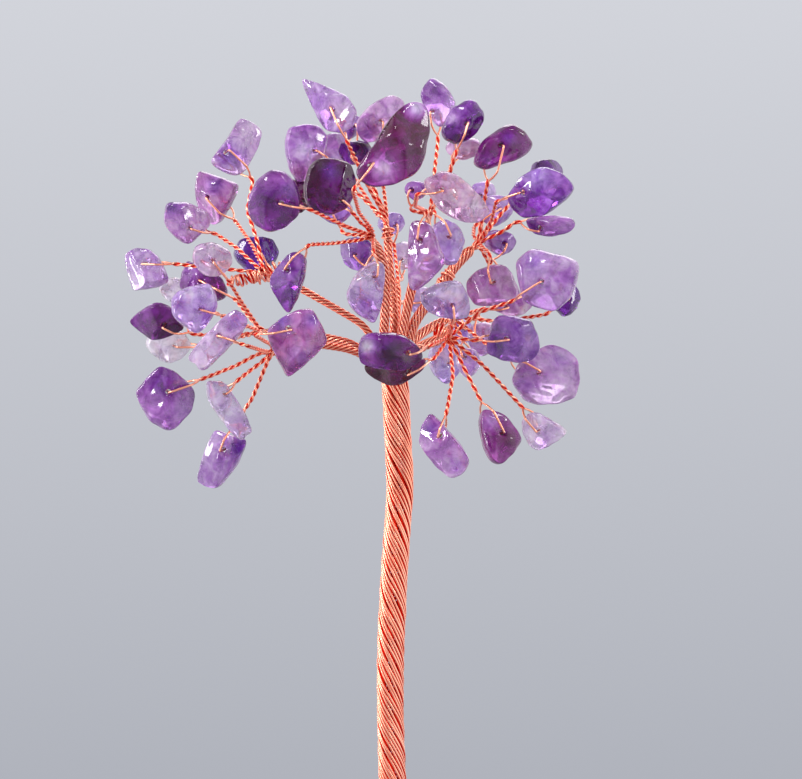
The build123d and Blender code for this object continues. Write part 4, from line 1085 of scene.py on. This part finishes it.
shuffle_share = 0.4
shuffle_rate = 7


def branch_way(leaving, number):
    """The way that a strand of the trunk takes at the fork: the nearest, after some shuffling."""
    nearness = {name: float(way @ leaving) + shuffle_share * math.sin(number * shuffle_rate + len(name))
                for name, way in fork_ways.items()}
    return fork_ways[max(nearness, key=nearness.get)]


strand_count = 22
strand_lay = 26 * MM
strand_stations = 560
strand_sides = 8
strand_seed = 5
# A little over the wire's own radius, so that the strands still touch where they wander.
trunk_wire_radius = 0.235 * MM
layer_ring = trunk_diameter / 2 - wire_radius
wander_lengths = (17 * MM, 29 * MM, 47 * MM)
wander_share = 0.2
rise_lengths = (13 * MM, 23 * MM, 41 * MM)
rise_height = 0.055 * MM
layer_sink = 0.05 * MM
foot_trim = 1.5 * MM
fork_trim = 2.5 * MM
root_turn_step = 1.3
root_turns = 1.6
root_gap_stations = 6
drift_size = 0.55 * MM
top_runs = [(2.2 * MM, 1.0), (5.5 * MM, 0.8), (7 * MM, 0.2)]
strand_ease = 1.2 * MM
strand_spacing = 0.2 * MM
outer = []
chance = np.random.default_rng(strand_seed)
for number in range(strand_count):
    wander = slow_waves(axis_run[:, None], wander_lengths, chance)
    turn = math.tau * ((number + wander_share * wander) / strand_count - axis_run[:, None] / strand_lay)
    rise = slow_waves(axis_run[:, None], rise_lengths, chance)
    laid = laid_round(trunk_axis, turn, layer_ring - layer_sink + rise_height * rise)
    laid = laid[(axis_run > foot_trim) & (axis_run < axis_run[-1] - fork_trim)]
    foot_deg = math.degrees(math.atan2(laid[0][1], laid[0][0])) - root_start_deg
    root = root_lines[round(foot_deg / root_step_deg) % root_count]
    _, root_side, root_other = line_frame(root)
    root_turn = root_turn_step * number + math.tau * np.linspace(0, 1, len(root))[:, None] * root_turns
    root_laid = root + (root_diameter / 2 - wire_radius) * at_angle(root_turn, root_side, root_other)
    leaving = (laid[-1] - trunk_axis[-1]) * (1, 1, 0)
    leaving = leaving / np.linalg.norm(leaving)
    way = branch_way(leaving, number)
    top = [fork + way * reach + leaving * drift_size * share for reach, share in top_runs]
    outer.append(even_line(eased_line([*root_laid[:root_gap_stations:-1], *laid, *top],
                                      strand_ease, strand_spacing), strand_stations))
strand_tubes = tubes(np.stack(outer), trunk_wire_radius, strand_sides)
trunk = grid_object("trunk_strands", strand_tubes, capped=True)
mark_groove_shade(trunk, strand_tubes, np.stack([nearest_on(trunk_axis, line) for line in outer]))

# The inner layer shows only in the grooves between the outer strands, and its lay is a little longer.
inner_count = 20
inner_lay = 1.3 * strand_lay
inner_stations = 260
inner_sink = 1.5 * wire_radius
inner_ring = layer_ring - inner_sink
inner = []
for number in range(inner_count):
    turn = math.tau * (number / inner_count - axis_run[:, None] / inner_lay)
    inner.append(even_line(laid_round(trunk_axis, turn, inner_ring), inner_stations))
core_grid = tubes(np.stack(inner), wire_radius, wire_sides)
core = grid_object("trunk_core", core_grid, capped=True)
# The whole inner layer is painted in the deep red shade of the grooves.
mark(core, "groove_shade", np.ones(core_grid.size // 3))

root_stations = 60
root_sides = 10
root_cores = grid_object("root_cores", tubes(
    np.stack([even_line(line, root_stations) for line in root_lines]),
    root_diameter / 2 - 2 * wire_radius, root_sides), capped=True)
for piece in (trunk, core, root_cores):
    piece.data.materials.append(copper_wire)
    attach(piece, "tree")
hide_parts("trunk_strands_left", "trunk_strands_right")
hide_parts("trunk_core")
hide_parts("root_bundles")


# The base, which the picture doesn't show: a polished slice of banded agate with a tone like the chips', cut
# flat so that the tree stands on it. The trunk's tail is set in its hole with clear epoxy.
def agate(name):
    """Polished agate: thin uneven bands that follow the slice's outline, and a rough natural rind round it.

    The bands are noise along the distance from the middle, after a wide swirl has pushed each place about.
    The polish is on the sawn face, which faces up.
    """
    material = new_material(name)
    coordinates = add_node(material, "ShaderNodeTexCoord").outputs
    swirl_size = 30 * MM
    swirl_reach = 26 * MM
    swirl = add_node(material, "ShaderNodeTexNoise", Vector=coordinates["Object"], Scale=1 / swirl_size,
                     Detail=3.0, Roughness=0.5).outputs["Color"]
    push = add_node(material, "ShaderNodeVectorMath", {"operation": "SCALE"}, i0=swirl,
                    Scale=swirl_reach).outputs[0]
    moved = add_node(material, "ShaderNodeVectorMath", {"operation": "ADD"}, i0=coordinates["Object"],
                     i1=push).outputs[0]
    flat = add_node(material, "ShaderNodeVectorMath", {"operation": "MULTIPLY"}, i0=moved,
                    i1=(1.0, 1.2, 0.1)).outputs[0]
    distance = add_node(material, "ShaderNodeVectorMath", {"operation": "LENGTH"}, i0=flat).outputs["Value"]
    band_size = 2.2 * MM
    bands = add_node(material, "ShaderNodeTexNoise", {"noise_dimensions": "1D"}, W=distance,
                     Scale=1 / band_size, Detail=3.0, Roughness=0.6).outputs["Fac"]
    polished = add_node(material, "ShaderNodeValToRGB", i0=bands, stops=[
        (0.28, "#7D6A90"), (0.42, "#9C8AB0"), (0.5, "#B9AAC6"), (0.6, "#CFC5D4"),
        (0.72, "#E2DCE2")]).outputs[0]
    facing_up = add_node(material, "ShaderNodeSeparateXYZ", i0=coordinates["Normal"]).outputs[2]
    cut = add_node(material, "ShaderNodeMapRange", Value=facing_up, From_Min=0.35, From_Max=0.6).outputs[0]
    rind_size = 1.3 * MM
    grain = add_node(material, "ShaderNodeTexNoise", Vector=coordinates["Object"], Scale=1 / rind_size,
                     Detail=6.0, Roughness=0.7).outputs["Fac"]
    rind = add_node(material, "ShaderNodeValToRGB", i0=grain, stops=[
        (0.3, "#6E625C"), (0.5, "#978A80"), (0.7, "#B9AEA2")]).outputs[0]
    colour = add_node(material, "ShaderNodeMix", {"data_type": "RGBA"}, i0=cut, i6=rind,
                      i7=polished).outputs[2]
    rough = add_node(material, "ShaderNodeMapRange", Value=cut, To_Min=0.75, To_Max=0.14).outputs[0]
    rind_depth = add_node(material, "ShaderNodeMapRange", Value=cut, To_Min=1.0, To_Max=0.0).outputs[0]
    bump = add_node(material, "ShaderNodeBump", Strength=rind_depth, Distance=0.5 * MM,
                    Height=grain).outputs[0]
    surface = add_node(material, "ShaderNodeBsdfPrincipled", Base_Color=colour, Roughness=rough, IOR=1.54,
                       Normal=bump)
    add_node(material, "ShaderNodeOutputMaterial", Surface=surface.outputs[0])
    return material


def set_glue(name):
    """Clear epoxy, set hard, a little yellowed, with small bubbles."""
    material = new_material(name)
    place = add_node(material, "ShaderNodeTexCoord").outputs["Object"]
    bubble_size = 0.5 * MM
    bubbles = add_node(material, "ShaderNodeTexVoronoi", Vector=place,
                       Scale=1 / bubble_size).outputs["Distance"]
    colour = add_node(material, "ShaderNodeValToRGB", i0=bubbles, stops=[
        (0.0, "#F4EFDD"), (0.4, "#DFD7BE")]).outputs[0]
    surface = add_node(material, "ShaderNodeBsdfPrincipled", Base_Color=colour, Roughness=0.22)
    add_node(material, "ShaderNodeOutputMaterial", Surface=surface.outputs[0])
    return material


for node, material in (("base_slice", agate("polished_agate")), ("glue_plug", set_glue("set_epoxy"))):
    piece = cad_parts[node]
    piece.data.materials.clear()
    piece.data.materials.append(material)


# The room. A pale sweep stands behind, seen as a soft grey gradient. Glossy surfaces see brighter walls at
# both sides, and everything else a plain pale room.
world = bpy.data.worlds.new("studio")
world.use_nodes = True
world.node_tree.nodes.clear()
bpy.context.scene.world = world
ray_parts = add_node(world, "ShaderNodeSeparateXYZ",
                     i0=add_node(world, "ShaderNodeTexCoord").outputs["Generated"]).outputs
ray_kinds = add_node(world, "ShaderNodeLightPath").outputs
height = add_node(world, "ShaderNodeMapRange", Value=ray_parts[2], From_Min=-0.115, From_Max=0.115).outputs[0]
grey = add_node(world, "ShaderNodeValToRGB", i0=height, stops=[(0.0, "#B0B3BC"), (1.0, "#D2D4DB")]).outputs[0]
sweep = add_node(world, "ShaderNodeBackground", Color=grey).outputs[0]
plain_room = add_node(world, "ShaderNodeBackground", Color=(1.0, 1.0, 1.0, 1.0), Strength=0.55).outputs[0]
to_side = add_node(world, "ShaderNodeMath", {"operation": "ABSOLUTE"}, i0=ray_parts[0]).outputs[0]
glow = add_node(world, "ShaderNodeMapRange", Value=to_side, From_Min=0.15, From_Max=0.95, To_Min=0.55,
                To_Max=2.4).outputs[0]
bright_walls = add_node(world, "ShaderNodeBackground", Strength=glow).outputs[0]
unseen = add_node(world, "ShaderNodeMixShader", i0=ray_kinds["Is Glossy Ray"], i1=plain_room,
                  i2=bright_walls).outputs[0]
is_seen = add_node(world, "ShaderNodeMath", {"operation": "MAXIMUM", "use_clamp": True},
                   i0=ray_kinds["Is Camera Ray"], i1=ray_kinds["Transmission Depth"]).outputs[0]
shown = add_node(world, "ShaderNodeMixShader", i0=is_seen, i1=unseen, i2=sweep).outputs[0]
add_node(world, "ShaderNodeOutputWorld", Surface=shown)

# The lamps. A large soft window at the upper left does most of the lighting. A weaker one on the right and a
# small lamp above soften its shadows, a tall strip draws a line down the left edges, and a lamp behind rims
# the crown. Each is a rectangle that faces the foot of the crown.
lamp_aim = np.array([0, 0, 0.1])
for name, place, width, height, power in (
        ("window_left", (-0.45, -0.5, 0.62), 0.27, 0.27, 5.0),
        ("window_right", (0.6, -0.25, 0.4), 0.18, 0.18, 1.5),
        ("top_strip", (0.12, -0.4, 0.8), 0.09, 0.09, 0.6),
        ("left_strip", (-0.58, 0.06, 0.16), 0.03, 0.5, 1.3),
        ("back_rim", (0.1, 0.55, 0.55), 0.4, 0.4, 1.2)):
    light_data = bpy.data.lights.new(name, "AREA")
    light_data.shape = "RECTANGLE"
    light_data.size = width
    light_data.size_y = height
    light_data.energy = power
    light = bpy.data.objects.new(name, light_data)
    light.location = place
    aim = lamp_aim - np.array(place)
    tilt = math.acos(-aim[2] / np.linalg.norm(aim))
    light.rotation_euler = (tilt, 0, math.atan2(aim[1], aim[0]) - math.pi / 2)
    bpy.context.scene.collection.objects.link(light)

# The table: a pale round top that fades out well clear of the base, so that no edge of it shows.
table_radius = 220 * MM
fade_start = 110 * MM
table_sides = 96
angle = np.linspace(0, math.tau, table_sides, endpoint=False)
table_mesh = bpy.data.meshes.new("table_top")
table_mesh.from_pydata(
    np.stack([table_radius * np.cos(angle), table_radius * np.sin(angle), np.zeros(table_sides)],
             axis=-1).tolist(), [], [list(range(table_sides))])
table = bpy.data.objects.new("table_top", table_mesh)
bpy.context.scene.collection.objects.link(table)
table_material = new_material("pale_table")
from_middle = add_node(table_material, "ShaderNodeVectorMath", {"operation": "LENGTH"},
                       i0=add_node(table_material, "ShaderNodeTexCoord").outputs["Object"]).outputs["Value"]
fading = add_node(table_material, "ShaderNodeMapRange", {"interpolation_type": "SMOOTHSTEP"},
                  Value=from_middle, From_Min=fade_start, From_Max=table_radius, To_Min=1.0,
                  To_Max=0.0).outputs[0]
table_surface = add_node(table_material, "ShaderNodeBsdfPrincipled", Base_Color=linear("#ADB0B8"),
                         Roughness=0.7, Alpha=fading)
add_node(table_material, "ShaderNodeOutputMaterial", Surface=table_surface.outputs[0])
table_mesh.materials.append(table_material)
